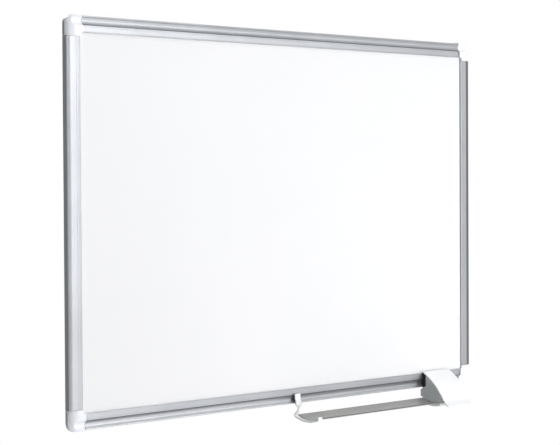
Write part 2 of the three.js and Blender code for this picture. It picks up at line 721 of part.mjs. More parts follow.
// The right holder: the same hanger, made wide, with a floor under the eraser and the gutter's end.
function rightHolderGeometry() {
  const reach = BEAD_RADIUS + FIT_GAP + HOLDER_FLOOR_THICKNESS / 2;
  const { neck, heel } = hangerLine(HOLDER_PLATE_TOP, HOLDER_PLATE_BACK, HOLDER_PLATE_BACK, reach);
  const { halfAngle } = GUTTER_BOW;
  const front = GUTTER_BOW.angleAt(-HOLDER_FRONT, FLOOR_OFFSET);
  const under = GUTTER_BOW.points(-halfAngle, front, FLOOR_OFFSET, LONG_ARC_STEPS);
  const setIn = RIGHT_SHOE_END + FIT_GAP;
  const stations = [...neck, ...heel, ...under.slice(1)].map((point, i) => ({
    y: point.x,
    z: point.y,
    from: i < neck.length + heel.length ? INSIDE_LEFT + setIn : GUTTER_RIGHT - HOLDER_OVERLAP,
    to: INSIDE_RIGHT - setIn,
    thickness: THREE.MathUtils.lerp(
      HOLDER_PLATE_THICKNESS, HOLDER_FLOOR_THICKNESS,
      THREE.MathUtils.clamp(2 * i / neck.length - 1, 0, 1),
    ),
  }));
  return ribbon(stations);
}

// The back of a shoe: it follows the rim and the channel of the rail at a running gap.
function shoeBack(shape, bottom) {
  const railEdge = UNDERSIDE + CAP_PROUD;
  const front = -(FRAME_DEPTH + FIT_GAP);
  const radius = CHANNEL_RADIUS - FIT_GAP;
  const middle = railEdge + CHANNEL_MIDDLE;
  const turn = Math.acos((front - CHANNEL_CENTRE) / radius);
  shape.moveTo(front, UNDERSIDE + bottom);
  shape.absarc(CHANNEL_CENTRE, middle, radius, -turn, turn, false);
}

// The left shoe, a pad between the bracket's plate and the channel.
function leftShoeGeometry() {
  const shape = new THREE.Shape();
  const setBack = STRIP_THICKNESS / 2 + FIT_GAP;
  shoeBack(shape, LEFT_SHOE_BOTTOM);
  shape.lineTo(-(FRAME_DEPTH + FIT_GAP), UNDERSIDE + LEFT_SHOE_TOP);
  LEFT_HANGER.neck
    .filter((point) => point.y < UNDERSIDE + LEFT_SHOE_TOP && point.y > UNDERSIDE + BULGE_HEIGHT)
    .forEach((point) => shape.lineTo(point.x + setBack, point.y));
  shape.closePath();
  return sidePrism(shape, PLATE_LEFT, PLATE_RIGHT);
}

// The outer arc of the eraser's shell, from its top at the rail to its toe.
const SHELL_BOW = new Bow(
  new THREE.Vector2(-ERASER_TOE_OUT, UNDERSIDE - ERASER_TOE_DROP),
  new THREE.Vector2(-ERASER_TOP_OUT, UNDERSIDE + ERASER_TOP_HEIGHT),
  ERASER_CROWN,
);

// Points of the shell from its top down to its toe, set in from the outer face.
function shellArc(setIn, steps) {
  const { halfAngle } = SHELL_BOW;
  return SHELL_BOW.points(halfAngle, -halfAngle, -setIn, steps);
}

// The right shoe: it also seats on the lip, and holds the plate in a pocket with closed ends.
// Its underside slopes as the eraser lifts off, so that the eraser's cheeks pass below it.
function rightShoeGeometry() {
  const shape = new THREE.Shape();
  const seat = -(FRAME_DEPTH + FIT_GAP);
  const setIn = ERASER_SKIN + FELT_GAP;
  const top = SHELL_BOW.angleAt(seat - FIT_GAP, -setIn);
  const bottom = SHELL_BOW.angleAt(-RIGHT_SHOE_FRONT, -setIn);
  const slope = (RIGHT_SHOE_FRONT - FRAME_DEPTH - FIT_GAP) * Math.tan(LIFT_SLOPE);
  shoeBack(shape, RIGHT_SHOE_BOTTOM);
  shape.lineTo(seat, SHELL_BOW.at(top, -setIn).y);
  SHELL_BOW.points(top, bottom, -setIn, ROUND_STEPS).forEach((p) => shape.lineTo(p.x, p.y));
  shape.lineTo(-RIGHT_SHOE_FRONT, UNDERSIDE + RIGHT_SHOE_BOTTOM + slope);
  shape.closePath();
  const block = sidePrism(shape, ERASER_LEFT, ERASER_RIGHT);
  const half = HOLDER_PLATE_THICKNESS / 2 + FIT_GAP;
  const below = UNDERSIDE + RIGHT_SHOE_BOTTOM - OVERRUN;
  const above = UNDERSIDE + HOLDER_PLATE_TOP + FIT_GAP;
  const pocket = boxBetween(
    new THREE.Vector3(INSIDE_LEFT + RIGHT_SHOE_END, -HOLDER_PLATE_BACK - half, below),
    new THREE.Vector3(INSIDE_RIGHT - RIGHT_SHOE_END, -HOLDER_PLATE_BACK + half, above),
  );
  return cut(block, pocket);
}

// How far a rounded corner draws the shell's edge in, at a distance from its end.
function cornerDraw(radius, distance) {
  const left = Math.max(radius - distance, 0);
  return radius - Math.sqrt(radius * radius - left * left);
}

// The curved skin of the eraser, with its grip lip and rounded corners.
function skinStations() {
  const arc = shellArc(ERASER_SKIN / 2, LONG_ARC_STEPS);
  const toe = arc[arc.length - 1];
  const slope = new THREE.Vector2(-Math.cos(ERASER_LIP_SLOPE), -Math.sin(ERASER_LIP_SLOPE));
  const lip = Array.from({ length: ARC_STEPS }, (_, i) => {
    const run = Math.sin((i + 1) / ARC_STEPS * Math.PI / 2) * ERASER_LIP_LENGTH;
    return toe.clone().addScaledVector(slope, run);
  });
  const line = [...arc, ...lip];
  const runs = line.map((point, i) => (i ? point.distanceTo(line[i - 1]) : 0));
  const total = runs.reduce((sum, run) => sum + run, 0);
  let travelled = 0;
  return line.map((point, i) => {
    travelled += runs[i];
    const fromEnd = total - travelled;
    const top = cornerDraw(ERASER_TOP_CORNER, travelled);
    return {
      y: point.x,
      z: point.y,
      from: ERASER_LEFT + Math.max(top, cornerDraw(ERASER_LEFT_TOE_CORNER, fromEnd)),
      to: ERASER_RIGHT - Math.max(top, cornerDraw(ERASER_RIGHT_TOE_CORNER, fromEnd)),
      thickness: ERASER_SKIN,
    };
  });
}

// Outline of a cheek, the side wall that stands in the tray.
function cheekShape() {
  const setIn = ERASER_SKIN / 2;
  const top = SHELL_BOW.angleAt(-CHEEK_FRONT_EDGE, -setIn);
  const foot = GUTTER_BOW.angleAt(-CHEEK_FOOT_OUT, 0);
  const slope = (CHEEK_FRONT_EDGE - CHEEK_BACK) * Math.tan(LIFT_SLOPE);
  const shape = new THREE.Shape();
  const start = SHELL_BOW.at(top, -setIn);
  shape.moveTo(start.x, start.y);
  SHELL_BOW.points(top, -SHELL_BOW.halfAngle, -setIn, LONG_ARC_STEPS).slice(1)
    .forEach((p) => shape.lineTo(p.x, p.y));
  GUTTER_BOW.points(foot, -GUTTER_BOW.halfAngle, 0, LONG_ARC_STEPS)
    .forEach((p) => shape.lineTo(p.x, p.y));
  shape.lineTo(-CHEEK_BACK, UNDERSIDE - GUTTER_DROP + CHEEK_BACK_RISE);
  shape.lineTo(-CHEEK_BACK, UNDERSIDE - CHEEK_BACK_TOP);
  shape.lineTo(-CHEEK_FRONT_EDGE, UNDERSIDE - CHEEK_BACK_TOP + slope);
  shape.closePath();
  return shape;
}

// The eraser's shell: its skin and two cheeks in one moulding, open at the back and below.
function eraserShellGeometry() {
  const skin = ribbon(skinStations());
  const left = sidePrism(cheekShape(), CHEEK_LEFT, CHEEK_LEFT + CHEEK_THICKNESS);
  const right = sidePrism(cheekShape(), CHEEK_RIGHT - CHEEK_THICKNESS, CHEEK_RIGHT);
  return join(skin, left, right);
}

// The felt block inside the shell, which rests on the holder's floor.
function eraserFeltGeometry() {
  const offset = STRIP_TOP_OFFSET - FELT_GAP;
  const setIn = ERASER_SKIN + FELT_GAP;
  const frontAngle = GUTTER_BOW.angleAt(-FELT_FRONT, offset);
  const backAngle = GUTTER_BOW.angleAt(-FELT_BACK, offset);
  const bottom = SHELL_BOW.angleAt(-FELT_FRONT, -setIn);
  const shape = new THREE.Shape(GUTTER_BOW.points(backAngle, frontAngle, offset, LONG_ARC_STEPS));
  const topAngle = heightAngle(UNDERSIDE - FELT_TOP, setIn);
  SHELL_BOW.points(bottom, topAngle, -setIn, ARC_STEPS).forEach((p) => shape.lineTo(p.x, p.y));
  shape.lineTo(-FELT_BACK, UNDERSIDE - FELT_TOP);
  shape.closePath();
  return sidePrism(shape, INSIDE_LEFT, INSIDE_RIGHT);
}

// Angle at which the set-in shell arc reaches a height.
function heightAngle(height, setIn) {
  let low = -SHELL_BOW.halfAngle;
  let high = SHELL_BOW.halfAngle;
  for (let i = 0; i < HALVINGS; i += 1) {
    const middle = (low + high) / 2;
    if (SHELL_BOW.at(middle, -setIn).y < height) low = middle;
    else high = middle;
  }
  return (low + high) / 2;
}

// Materials, one new one for each piece.
const materials = {
  aluminium: { color: 0xc4c8ce, roughness: 0.36, metalness: 0.9 },
  gutter: { color: 0x9da0a2, roughness: 0.42, metalness: 0.85 },
  plastic: { color: 0xf4f5f8, roughness: 0.28, metalness: 0 },
  lacquer: { color: 0xf6f6f8, roughness: 0.18, metalness: 0 },
  core: { color: 0xb99f7c, roughness: 0.85, metalness: 0 },
  foil: { color: 0xa9adb0, roughness: 0.45, metalness: 0.8 },
  steel: { color: 0x9fa3a6, roughness: 0.4, metalness: 0.9 },
  rubber: { color: 0x141416, roughness: 0.8, metalness: 0 },
  felt: { color: 0x1c1c1f, roughness: 0.95, metalness: 0 },
};

const whiteboard = new THREE.Group();

// Adds one named piece to a group.
function addPiece(group, name, geometry, material) {
  const mesh = new THREE.Mesh(geometry, new THREE.MeshStandardMaterial(materials[material]));
  mesh.name = name;
  group.add(mesh);
  return mesh;
}

// The panel: writing sheet, core and backing foil, glued face to face.
function addPanel() {
  const panel = new THREE.Group();
  const width = BOARD_WIDTH - 2 * PANEL_EDGE;
  const height = BOARD_HEIGHT - 2 * (CAP_PROUD + PANEL_EDGE);
  const coreFront = SHEET_FRONT + SHEET_THICKNESS + GLUE_LINE;
  const coreBack = PANEL_BACK - FOIL_THICKNESS - GLUE_LINE;
  const layers = [
    ['writing_sheet', SHEET_FRONT, SHEET_THICKNESS, 'lacquer'],
    ['core_board', coreFront, coreBack - coreFront, 'core'],
    ['backing_foil', PANEL_BACK - FOIL_THICKNESS, FOIL_THICKNESS, 'foil'],
  ];
  for (const [name, front, thickness, material] of layers) {
    const layer = addPiece(panel, name, new THREE.BoxGeometry(width, thickness, height), material);
    layer.position.y = front + thickness / 2;
  }
  whiteboard.add(panel);
}

// One rail, its section turned so that it is drawn inwards from the frame's edge.
function addRail(name, section, length, corner, inward, screwFromEnd) {
  const rail = addPiece(whiteboard, name, railGeometry(section, length, screwFromEnd), 'aluminium');
  const along = new THREE.Vector3().crossVectors(inward, AXIS_Y);
  rail.quaternion.setFromRotationMatrix(new THREE.Matrix4().makeBasis(inward, AXIS_Y, along));
  rail.position.copy(corner).addScaledVector(along, -length / 2);
}

// The four rails, cut square between the caps.
function addRails() {
  const lengthX = BOARD_WIDTH - 2 * (CAP_LEG_X + FIT_GAP);
  const lengthZ = BOARD_HEIGHT - 2 * (CAP_LEG_Z + FIT_GAP);
  const edge = HALF_HEIGHT - CAP_PROUD;
  const screwX = SCREW_FROM_CORNER - CAP_LEG_X - FIT_GAP;
  const screwZ = SCREW_FROM_CORNER - CAP_LEG_Z - FIT_GAP;
  const horizontal = horizontalSection();
  const vertical = verticalSection();
  const down = AXIS_Z.clone().negate();
  const leftwards = AXIS_X.clone().negate();
  addRail('top_rail', horizontal, lengthX, new THREE.Vector3(0, 0, edge), down, screwX);
  addRail('bottom_rail', horizontal, lengthX, new THREE.Vector3(0, 0, -edge), AXIS_Z, screwX);
  addRail('left_rail', vertical, lengthZ, new THREE.Vector3(-HALF_WIDTH, 0, 0), AXIS_X, screwZ);
  addRail('right_rail', vertical, lengthZ, new THREE.Vector3(HALF_WIDTH, 0, 0), leftwards, screwZ);
}

// A cap, a key and two screws at each corner, the right and upper ones mirrored.
function addCorners() {
  const cap = capGeometry();
  const key = keyGeometry();
  const screw = screwBody();
  const screwEdge = KEY_EDGE + KEY_WIDTH / 2;
  for (const [side, signX] of [['left', 1], ['right', -1]]) {
    for (const [level, signZ] of [['bottom', 1], ['top', -1]]) {
      const corner = new THREE.Group();
      corner.position.set(-signX * HALF_WIDTH, 0, -signZ * HALF_HEIGHT);
      const name = `${level}_${side}`;
      addPiece(corner, `${name}_corner_cap`, mirrored(cap, signX, signZ), 'plastic');
      addPiece(corner, `${name}_corner_key`, mirrored(key, signX, signZ), 'steel');
      const first = addPiece(corner, `${name}_rail_screw`, screw.clone(), 'steel');
      first.position.set(signX * SCREW_FROM_CORNER, 0, signZ * (CAP_PROUD + screwEdge));
      const second = addPiece(corner, `${name}_side_screw`, screw.clone(), 'steel');
      second.position.set(signX * screwEdge, 0, signZ * SCREW_FROM_CORNER);
      whiteboard.add(corner);
    }
  }
}

// The sliding tray with its two hangers and shoes.
function addTray() {
  const tray = new THREE.Group();
  addPiece(tray, 'pen_gutter', gutterGeometry(), 'gutter');
  addPiece(tray, 'left_bracket', leftBracketGeometry(), 'plastic');
  addPiece(tray, 'left_shoe', leftShoeGeometry(), 'rubber');
  addPiece(tray, 'right_holder', rightHolderGeometry(), 'plastic');
  addPiece(tray, 'right_shoe', rightShoeGeometry(), 'rubber');
  whiteboard.add(tray);
}

// The eraser that stands on the holder.
function addEraser() {
  const eraser = new THREE.Group();
  addPiece(eraser, 'eraser_shell', eraserShellGeometry(), 'plastic');
  addPiece(eraser, 'eraser_felt', eraserFeltGeometry(), 'felt');
  whiteboard.add(eraser);
}

addPanel();
addRails();
addCorners();
addTray();
addEraser();

export default whiteboard;
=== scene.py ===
"""Looks of a wall-mounted magnetic whiteboard with a sliding pen tray.

Shapes are in millimetres and are turned into metres when a mesh is built. The camera, the
lamps and the relief of the finishes are in metres. X goes to the right, Y into the wall and
Z up. The middle of the frame's back is the origin.
"""
import logging
import math
from collections.abc import Callable, Iterable, Sequence
from dataclasses import dataclass, field
from enum import Enum

import bmesh
import bpy
from mathutils import Matrix, Vector


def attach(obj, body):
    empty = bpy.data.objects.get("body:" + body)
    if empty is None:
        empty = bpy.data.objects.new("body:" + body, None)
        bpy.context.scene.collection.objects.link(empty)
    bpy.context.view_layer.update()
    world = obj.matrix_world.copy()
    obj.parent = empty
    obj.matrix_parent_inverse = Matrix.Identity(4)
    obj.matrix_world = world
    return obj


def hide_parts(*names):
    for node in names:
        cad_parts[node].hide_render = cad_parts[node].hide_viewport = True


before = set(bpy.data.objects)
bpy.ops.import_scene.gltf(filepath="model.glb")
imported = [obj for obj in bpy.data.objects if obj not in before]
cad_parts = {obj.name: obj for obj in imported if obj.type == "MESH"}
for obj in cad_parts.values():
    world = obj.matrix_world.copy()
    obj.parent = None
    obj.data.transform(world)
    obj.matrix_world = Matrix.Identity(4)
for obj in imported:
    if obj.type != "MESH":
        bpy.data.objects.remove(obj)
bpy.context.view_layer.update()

log = logging.getLogger("whiteboard")

MM = 0.001
HALF_WIDTH = 450.0
HALF_HEIGHT = 300.0
UNDERSIDE = -HALF_HEIGHT
FRAME_DEPTH = 10.5
RAIL_FACE = 24.2
CAP_LEG_X = 28.4
CAP_LEG_Z = 31.4
CAP_PROUD = 1.8
ERASER_SKIN = 2.0
FIT_GAP = 0.3
CUT_PAST = 1.0

CREASE = 32.0
RIBBON_CREASE = 20.0
EDGE_PARTS = 2
ROUND_PROFILE = 0.5
SAME_PLACE = 1e-7
SHORTEST_STEP = 1e-6
SHORTEST_RUN = 1e-9
HALVINGS = 40
KNOT_STEPS = 60

NOISE_LOW = 0.3
NOISE_HIGH = 0.7
DRAWN_OUT = 0.004

Point = tuple[float, float]
Place = tuple[float, float, float]
Colour = tuple[float, float, float]


class Body(Enum):
    """The bodies that the pieces ride on."""

    FRAME = "frame"
    TRAY = "tray"
    ERASER = "eraser"


class Slot(Enum):
    """The record's material slots that the new pieces belong to."""

    RAIL = "rail_aluminium"
    GUTTER = "gutter_aluminium"
    WHITE = "white_plastic"
    RUBBER = "black_rubber"
    FELT = "black_felt"


class Axis(Enum):
    """The axes that a drawn line can be found on."""

    X = "X"
    Y = "Y"
    Z = "Z"


class Run(Enum):
    """The direction that drawn lines follow on a metal piece."""

    ACROSS = (DRAWN_OUT, 1.0, 1.0)
    UPRIGHT = (1.0, 1.0, DRAWN_OUT)


class Way(Enum):
    """A choice between two sides of the board, with its sign on their axis."""

    @property
    def label(self) -> str:
        """Return the word that the pieces' names have for it."""
        return self.name.lower()


class Side(Way):
    """The board's left or right, along X."""

    LEFT = -1
    RIGHT = 1


class Level(Way):
    """The board's bottom or top, along Z."""

    BOTTOM = -1
    TOP = 1


class Bead(Enum):
    """The gutter's two beads, with the side of its arc that each is on."""

    BACK = -1
    FRONT = 1


def shade(red: int, green: int, blue: int) -> Colour:
    """Turn a screen colour into a linear one.

    Args:
        red: Red from 0 to 255.
        green: Green from 0 to 255.
        blue: Blue from 0 to 255.

    Returns:
        The same colour in linear light.
    """
    def linear(value: int) -> float:
        """Return one channel in linear light, by the screen's standard curve."""
        part = value / 255
        return part / 12.92 if part <= 0.04045 else ((part + 0.055) / 1.055) ** 2.4

    return linear(red), linear(green), linear(blue)


def smooth_step(value: float) -> float:
    """Return a value from 0 to 1 eased at both ends."""
    held = min(max(value, 0.0), 1.0)
    return held * held * (3 - 2 * held)


def arc_radius(chord: float, sag: float) -> float:
    """Return the radius of an arc from its chord and its sag."""
    return (chord * chord / 4 + sag * sag) / (2 * sag)


@dataclass(frozen=True)
class Line:
    """A band of another colour and metallic value, at the same distance on both sides of an axis's
    zero; used for painted shade, painted highlights and the eraser cheeks' grey.
    """

    axis: Axis
    place: float
    half: float
    colour: Colour
    metallic: float


class Sheet:
    """A material's nodes, put together step by step."""

    def __init__(self, name: str) -> None:
        """Start a material with a shader.

        Args:
            name: Name of the material.
        """
        self.material = bpy.data.materials.new(name)
        self.material.use_nodes = True
        self.tree = self.material.node_tree
        self.shader = self.tree.nodes["Principled BSDF"]

    def node(self, kind: str, **settings: object) -> bpy.types.Node:
        """Add a node.

        Args:
            kind: Type of the node.
            settings: Properties to set on it.

        Returns:
            The new node.
        """
        added = self.tree.nodes.new(kind)
        for key, value in settings.items():
            setattr(added, key, value)
        return added

    def link(self, source: bpy.types.NodeSocket, target: bpy.types.NodeSocket) -> None:
        """Join two sockets."""
        self.tree.links.new(source, target)

    def place(self, stretch: Sequence[float] = (1.0, 1.0, 1.0)) -> bpy.types.NodeSocket:
        """Give the place on the object, stretched.

        Args:
            stretch: Factor for each axis.

        Returns:
            The socket of the stretched place.
        """
        where = self.node("ShaderNodeTexCoord")
        mapping = self.node("ShaderNodeMapping")
        mapping.inputs["Scale"].default_value = tuple(stretch)
        self.link(where.outputs["Object"], mapping.inputs["Vector"])
        return mapping.outputs["Vector"]

    def noise(self, where: bpy.types.NodeSocket, scale: float, detail: float = 3.0,
              rough: float = 0.55) -> bpy.types.NodeSocket:
        """Add a noise.

        Args:
            where: Socket of the place it is read at.
            scale: Cells in a metre.
            detail: Number of finer layers.
            rough: Strength of the finer layers.

        Returns:
            The socket of its value.
        """
        noise = self.node("ShaderNodeTexNoise")
        noise.inputs["Scale"].default_value = scale
        noise.inputs["Detail"].default_value = detail
        noise.inputs["Roughness"].default_value = rough
        self.link(where, noise.inputs["Vector"])
        return noise.outputs["Fac"]

    def tint(self, value: bpy.types.NodeSocket, low: Colour, high: Colour,
             span: Point = (NOISE_LOW, NOISE_HIGH)) -> None:
        """Colour the surface by a value.

        Args:
            value: Socket of the value, from 0 to 1.
            low: Linear colour where the value is low.
            high: Linear colour where the value is high.
            span: The two values that the colours stand at.
        """
        ramp = self.node("ShaderNodeValToRGB")
        for element, place, colour in zip(ramp.color_ramp.elements, span, (low, high)):
            element.position = place
            element.color = (*colour, 1.0)
        self.link(value, ramp.inputs["Fac"])
        self.link(ramp.outputs["Color"], self.shader.inputs["Base Color"])

    def roughen(self, value: bpy.types.NodeSocket, low: float, high: float) -> None:
        """Let the roughness follow a noise between two limits.

        Args:
            value: Socket of the noise.
            low: Roughness where the noise is low.
            high: Roughness where the noise is high.
        """
        spread = self.node("ShaderNodeMapRange")
        spread.inputs["From Min"].default_value = NOISE_LOW
        spread.inputs["From Max"].default_value = NOISE_HIGH
        spread.inputs["To Min"].default_value = low
        spread.inputs["To Max"].default_value = high
        self.link(value, spread.inputs["Value"])
        self.link(spread.outputs["Result"], self.shader.inputs["Roughness"])

    def blend_in(self, share: bpy.types.NodeSocket, name: str,
                 value: float | Sequence[float]) -> None:
        """Mix a plain value into one of the shader's sockets.

        Args:
            share: Socket of the share that the plain value gets.
            name: Name of the shader's socket.
            value: The plain value.
        """
        socket = self.shader.inputs[name]
        kind = socket.type
        mix = self.node("ShaderNodeMix", data_type="RGBA" if kind == "RGBA" else "FLOAT")
        first, second = [s for s in mix.inputs if s.type == kind and s.name in ("A", "B")]
        first.default_value = socket.default_value
        if socket.is_linked:
            self.link(socket.links[0].from_socket, first)
        second.default_value = value
        self.link(share, mix.inputs["Factor"])
        self.link(next(s for s in mix.outputs if s.type == kind), socket)

    def mark(self, line: Line) -> None:
        """Draw a band of another colour and metallic value, such as painted shade or a painted
        highlight.

        Args:
            line: The line.
        """
        where = self.node("ShaderNodeTexCoord")
        split = self.node("ShaderNodeSeparateXYZ")
        self.link(where.outputs["Object"], split.inputs[0])
        size = self.node("ShaderNodeMath", operation="ABSOLUTE")
        self.link(split.outputs[line.axis.value], size.inputs[0])
        near = self.node("ShaderNodeMath", operation="COMPARE")
        near.inputs[1].default_value = line.place * MM
        near.inputs[2].default_value = line.half * MM
        self.link(size.outputs[0], near.inputs[0])
        self.blend_in(near.outputs[0], "Base Color", (*line.colour, 1.0))
        self.blend_in(near.outputs[0], "Metallic", line.metallic)

    def relief(self, value: bpy.types.NodeSocket, strength: float, depth: float) -> None:
        """Raise the surface by a value.

        Args:
            value: Socket of the height, from 0 to 1.
            strength: How strongly it shows.
            depth: Height of the relief in metres.
        """
        bump = self.node("ShaderNodeBump")
        bump.inputs["Strength"].default_value = strength
        bump.inputs["Distance"].default_value = depth
        self.link(value, bump.inputs["Height"])
        self.link(bump.outputs["Normal"], self.shader.inputs["Normal"])

    def fixed(self, **values: float) -> None:
        """Set plain values on the shader's own sockets."""
        for key, value in values.items():
            self.shader.inputs[key.replace("_", " ")].default_value = value


@dataclass(frozen=True)
class Anodised:
    """Silver anodised aluminium, with the fine lines that the die leaves."""

    name: str
    run: Run
    low: Colour
    high: Colour
    metallic: float = 0.55
    smoothest: float = 0.346
    roughest: float = 0.406
    lines_per_metre: float = 1400.0
    clouds_per_metre: float = 9.0
    line_share: float = 0.35
    strength: float = 0.12
    depth: float = 0.00003
    marks: tuple[Line, ...] = ()

    def make(self) -> bpy.types.Material:
        """Build the finish.

        Returns:
            The new material.
        """
        sheet = Sheet(self.name)
        lines = sheet.noise(sheet.place(self.run.value), self.lines_per_metre, detail=2.0)
        clouds = sheet.noise(sheet.place(), self.clouds_per_metre)
        blend = sheet.node("ShaderNodeMath", operation="MULTIPLY_ADD")
        blend.inputs[1].default_value = self.line_share
        sheet.link(lines, blend.inputs[0])
        cloudy = sheet.node("ShaderNodeMath", operation="MULTIPLY")
        cloudy.inputs[1].default_value = 1 - self.line_share
        sheet.link(clouds, cloudy.inputs[0])
        sheet.link(cloudy.outputs[0], blend.inputs[2])
        sheet.tint(blend.outputs[0], self.low, self.high)
        sheet.roughen(lines, self.smoothest, self.roughest)
        sheet.relief(lines, self.strength, self.depth)
        sheet.fixed(Metallic=self.metallic)
        for mark in self.marks:
            sheet.mark(mark)
        return sheet.material


@dataclass(frozen=True)
class Moulded:
    """Injection-moulded plastic with a slight orange-peel surface."""

    name: str
    low: Colour
    high: Colour
    smoothest: float = 0.24
    roughest: float = 0.34
    peel_per_metre: float = 900.0
    clouds_per_metre: float = 28.0
    strength: float = 0.15
    depth: float = 0.000012
    gloss: float = 0.4
    glow: float = 0.0
    glow_reach: float = 0.0015
    glow_spread: Colour = (1.0, 1.0, 1.1)
    marks: tuple[Line, ...] = ()

    def make(self) -> bpy.types.Material:
        """Build the finish.

        Returns:
            The new material.
        """
        sheet = Sheet(self.name)
        where = sheet.place()
        peel = sheet.noise(where, self.peel_per_metre, detail=2.0)
        clouds = sheet.noise(where, self.clouds_per_metre, detail=4.0)
        sheet.tint(clouds, self.low, self.high)
        sheet.roughen(peel, self.smoothest, self.roughest)
        sheet.relief(peel, self.strength, self.depth)
        sheet.fixed(Specular_IOR_Level=self.gloss, Subsurface_Weight=self.glow,
                    Subsurface_Scale=self.glow_reach)
        sheet.shader.inputs["Subsurface Radius"].default_value = self.glow_spread
        for mark in self.marks:
            sheet.mark(mark)
        return sheet.material


@dataclass(frozen=True)
class Lacquer:
    """White writing lacquer baked on steel, with a faint wave in its gloss."""

    name: str = "writing_lacquer"
    low: Colour = shade(238, 239, 241)
    high: Colour = shade(241, 241, 243)
    smoothest: float = 0.4
    roughest: float = 0.46
    clouds_per_metre: float = 3.0
    waves_per_metre: float = 60.0
    strength: float = 0.04
    depth: float = 0.00003
    gloss: float = 0.12

    def make(self) -> bpy.types.Material:
        """Build the finish.

        Returns:
            The new material.
        """
        sheet = Sheet(self.name)
        where = sheet.place()
        clouds = sheet.noise(where, self.clouds_per_metre, detail=4.0)
        wave = sheet.noise(where, self.waves_per_metre, detail=2.0)
        sheet.tint(clouds, self.low, self.high)
        sheet.roughen(wave, self.smoothest, self.roughest)
        sheet.relief(wave, self.strength, self.depth)
        sheet.fixed(Specular_IOR_Level=self.gloss)
        return sheet.material


@dataclass(frozen=True)
class Grained:
    """A dull surface of fine grain: felt, rubber or pressed fibre."""

    name: str
    low: Colour
    high: Colour
    grains_per_metre: float
    depth: float
    smoothest: float = 0.7
    roughest: float = 0.95
    strength: float = 0.5
    sheen: float = 0.0
    span: Point = (0.32, 0.68)

    def make(self) -> bpy.types.Material:
        """Build the finish.

        Returns:
            The new material.
        """
        sheet = Sheet(self.name)
        where = sheet.place()
        grain = sheet.noise(where, self.grains_per_metre, detail=5.0, rough=0.7)
        sheet.tint(grain, self.low, self.high, self.span)
        sheet.roughen(grain, self.smoothest, self.roughest)
        sheet.relief(grain, self.strength, self.depth)
        sheet.fixed(Sheen_Weight=self.sheen)
        return sheet.material


@dataclass(frozen=True)
class Plated:
    """Zinc-plated steel or thin foil with soft spangles."""

    name: str
    low: Colour
    high: Colour
    smoothest: float = 0.3
    roughest: float = 0.5
    spangles_per_metre: float = 220.0
    dust_per_metre: float = 1500.0
    strength: float = 0.1
    depth: float = 0.00002
    metallic: float = 0.85
    span: Point = (0.05, 0.75)

    def make(self) -> bpy.types.Material:
        """Build the finish.

        Returns:
            The new material.
        """
        sheet = Sheet(self.name)
        where = sheet.place()
        cells = sheet.node("ShaderNodeTexVoronoi", feature="SMOOTH_F1")
        cells.inputs["Scale"].default_value = self.spangles_per_metre
        sheet.link(where, cells.inputs["Vector"])
        dust = sheet.noise(where, self.dust_per_metre)
        sheet.tint(cells.outputs["Distance"], self.low, self.high, self.span)
        sheet.roughen(dust, self.smoothest, self.roughest)
        sheet.relief(dust, self.strength, self.depth)
        sheet.fixed(Metallic=self.metallic)
        return sheet.material


class Form:
    """A mesh that is put together in millimetres."""

    def __init__(self) -> None:
        """Start with an empty mesh."""
        self.points: list[Vector] = []
        self.faces: list[list[int]] = []

    def ring(self, points: Iterable[Sequence[float]]) -> list[int]:
        """Add points.

        Args:
            points: The points in order.

        Returns:
            Their numbers in order.
        """
        start = len(self.points)
        self.points.extend(Vector(point) for point in points)
        return list(range(start, len(self.points)))

    def bridge(self, first: Sequence[int], second: Sequence[int], closed: bool = True) -> None:
        """Join two rows of points with faces.

        Args:
            first: Numbers of the first row.
            second: Numbers of the second row.
            closed: Whether the rows run round.
        """
        count = len(first)
        for i in range(count if closed else count - 1):
            k = (i + 1) % count
            self.faces.append([first[i], first[k], second[k], second[i]])

    def loft(self, rings: Sequence[Sequence[Sequence[float]]]) -> None:
        """Skin closed rings one after the other and close both ends.

        Args:
            rings: Rings with the same number of points.
        """
        rows = [self.ring(points) for points in rings]
        for first, second in zip(rows, rows[1:]):
            self.bridge(first, second)
        self.faces.append(list(reversed(rows[0])))
        self.faces.append(list(rows[-1]))

    def build(self, name: str, crease: float = CREASE, edge: float = 0.0) -> bpy.types.Object:
        """Turn the form into an object in metres.

        Args:
            name: Name of the object.
            crease: Angle in degrees above which an edge stays sharp.
            edge: Width in millimetres that sharp edges are rounded by.

        Returns:
            The new object.
        """
        mesh = bpy.data.meshes.new(name)
        mesh.from_pydata([point * MM for point in self.points], [], self.faces)
        work = bmesh.new()
        work.from_mesh(mesh)
        bmesh.ops.remove_doubles(work, verts=work.verts, dist=SAME_PLACE)
        bmesh.ops.recalc_face_normals(work, faces=work.faces)
        if edge:
            limit = math.radians(crease)
            sharp = [e for e in work.edges
                     if len(e.link_faces) == 2 and e.calc_face_angle() > limit]
            bmesh.ops.bevel(work, geom=sharp, offset=edge * MM, segments=EDGE_PARTS,
                            profile=ROUND_PROFILE, affect="EDGES", clamp_overlap=True)
        work.to_mesh(mesh)
        work.free()
        return settle(name, mesh, crease)


def settle(name: str, mesh: bpy.types.Mesh, crease: float) -> bpy.types.Object:
    """Put a mesh into the scene, smooth but for its sharp edges.

    Args:
        name: Name of the object.
        mesh: The mesh.
        crease: Angle in degrees above which an edge stays sharp.

    Returns:
        The new object.
    """
    mesh.polygons.foreach_set("use_smooth", [True] * len(mesh.polygons))
    mesh.set_sharp_from_angle(angle=math.radians(crease))
    piece = bpy.data.objects.new(name, mesh)
    bpy.context.scene.collection.objects.link(piece)
    return piece


def prism(outline: Sequence[Sequence[float]], ends: Point, name: str, crease: float = CREASE,
          edge: float = 0.0) -> bpy.types.Object:
    """Build a prism that runs along X.

    Args:
        outline: Its outline, as Y and Z.
        ends: Its two ends on X.
        name: Name of the object.
        crease: Angle in degrees above which an edge stays sharp.
        edge: Width in millimetres that sharp edges are rounded by.

    Returns:
        The new object.
    """
    form = Form()
    form.loft([[(x, *point) for point in outline] for x in ends])
    return form.build(name, crease, edge)


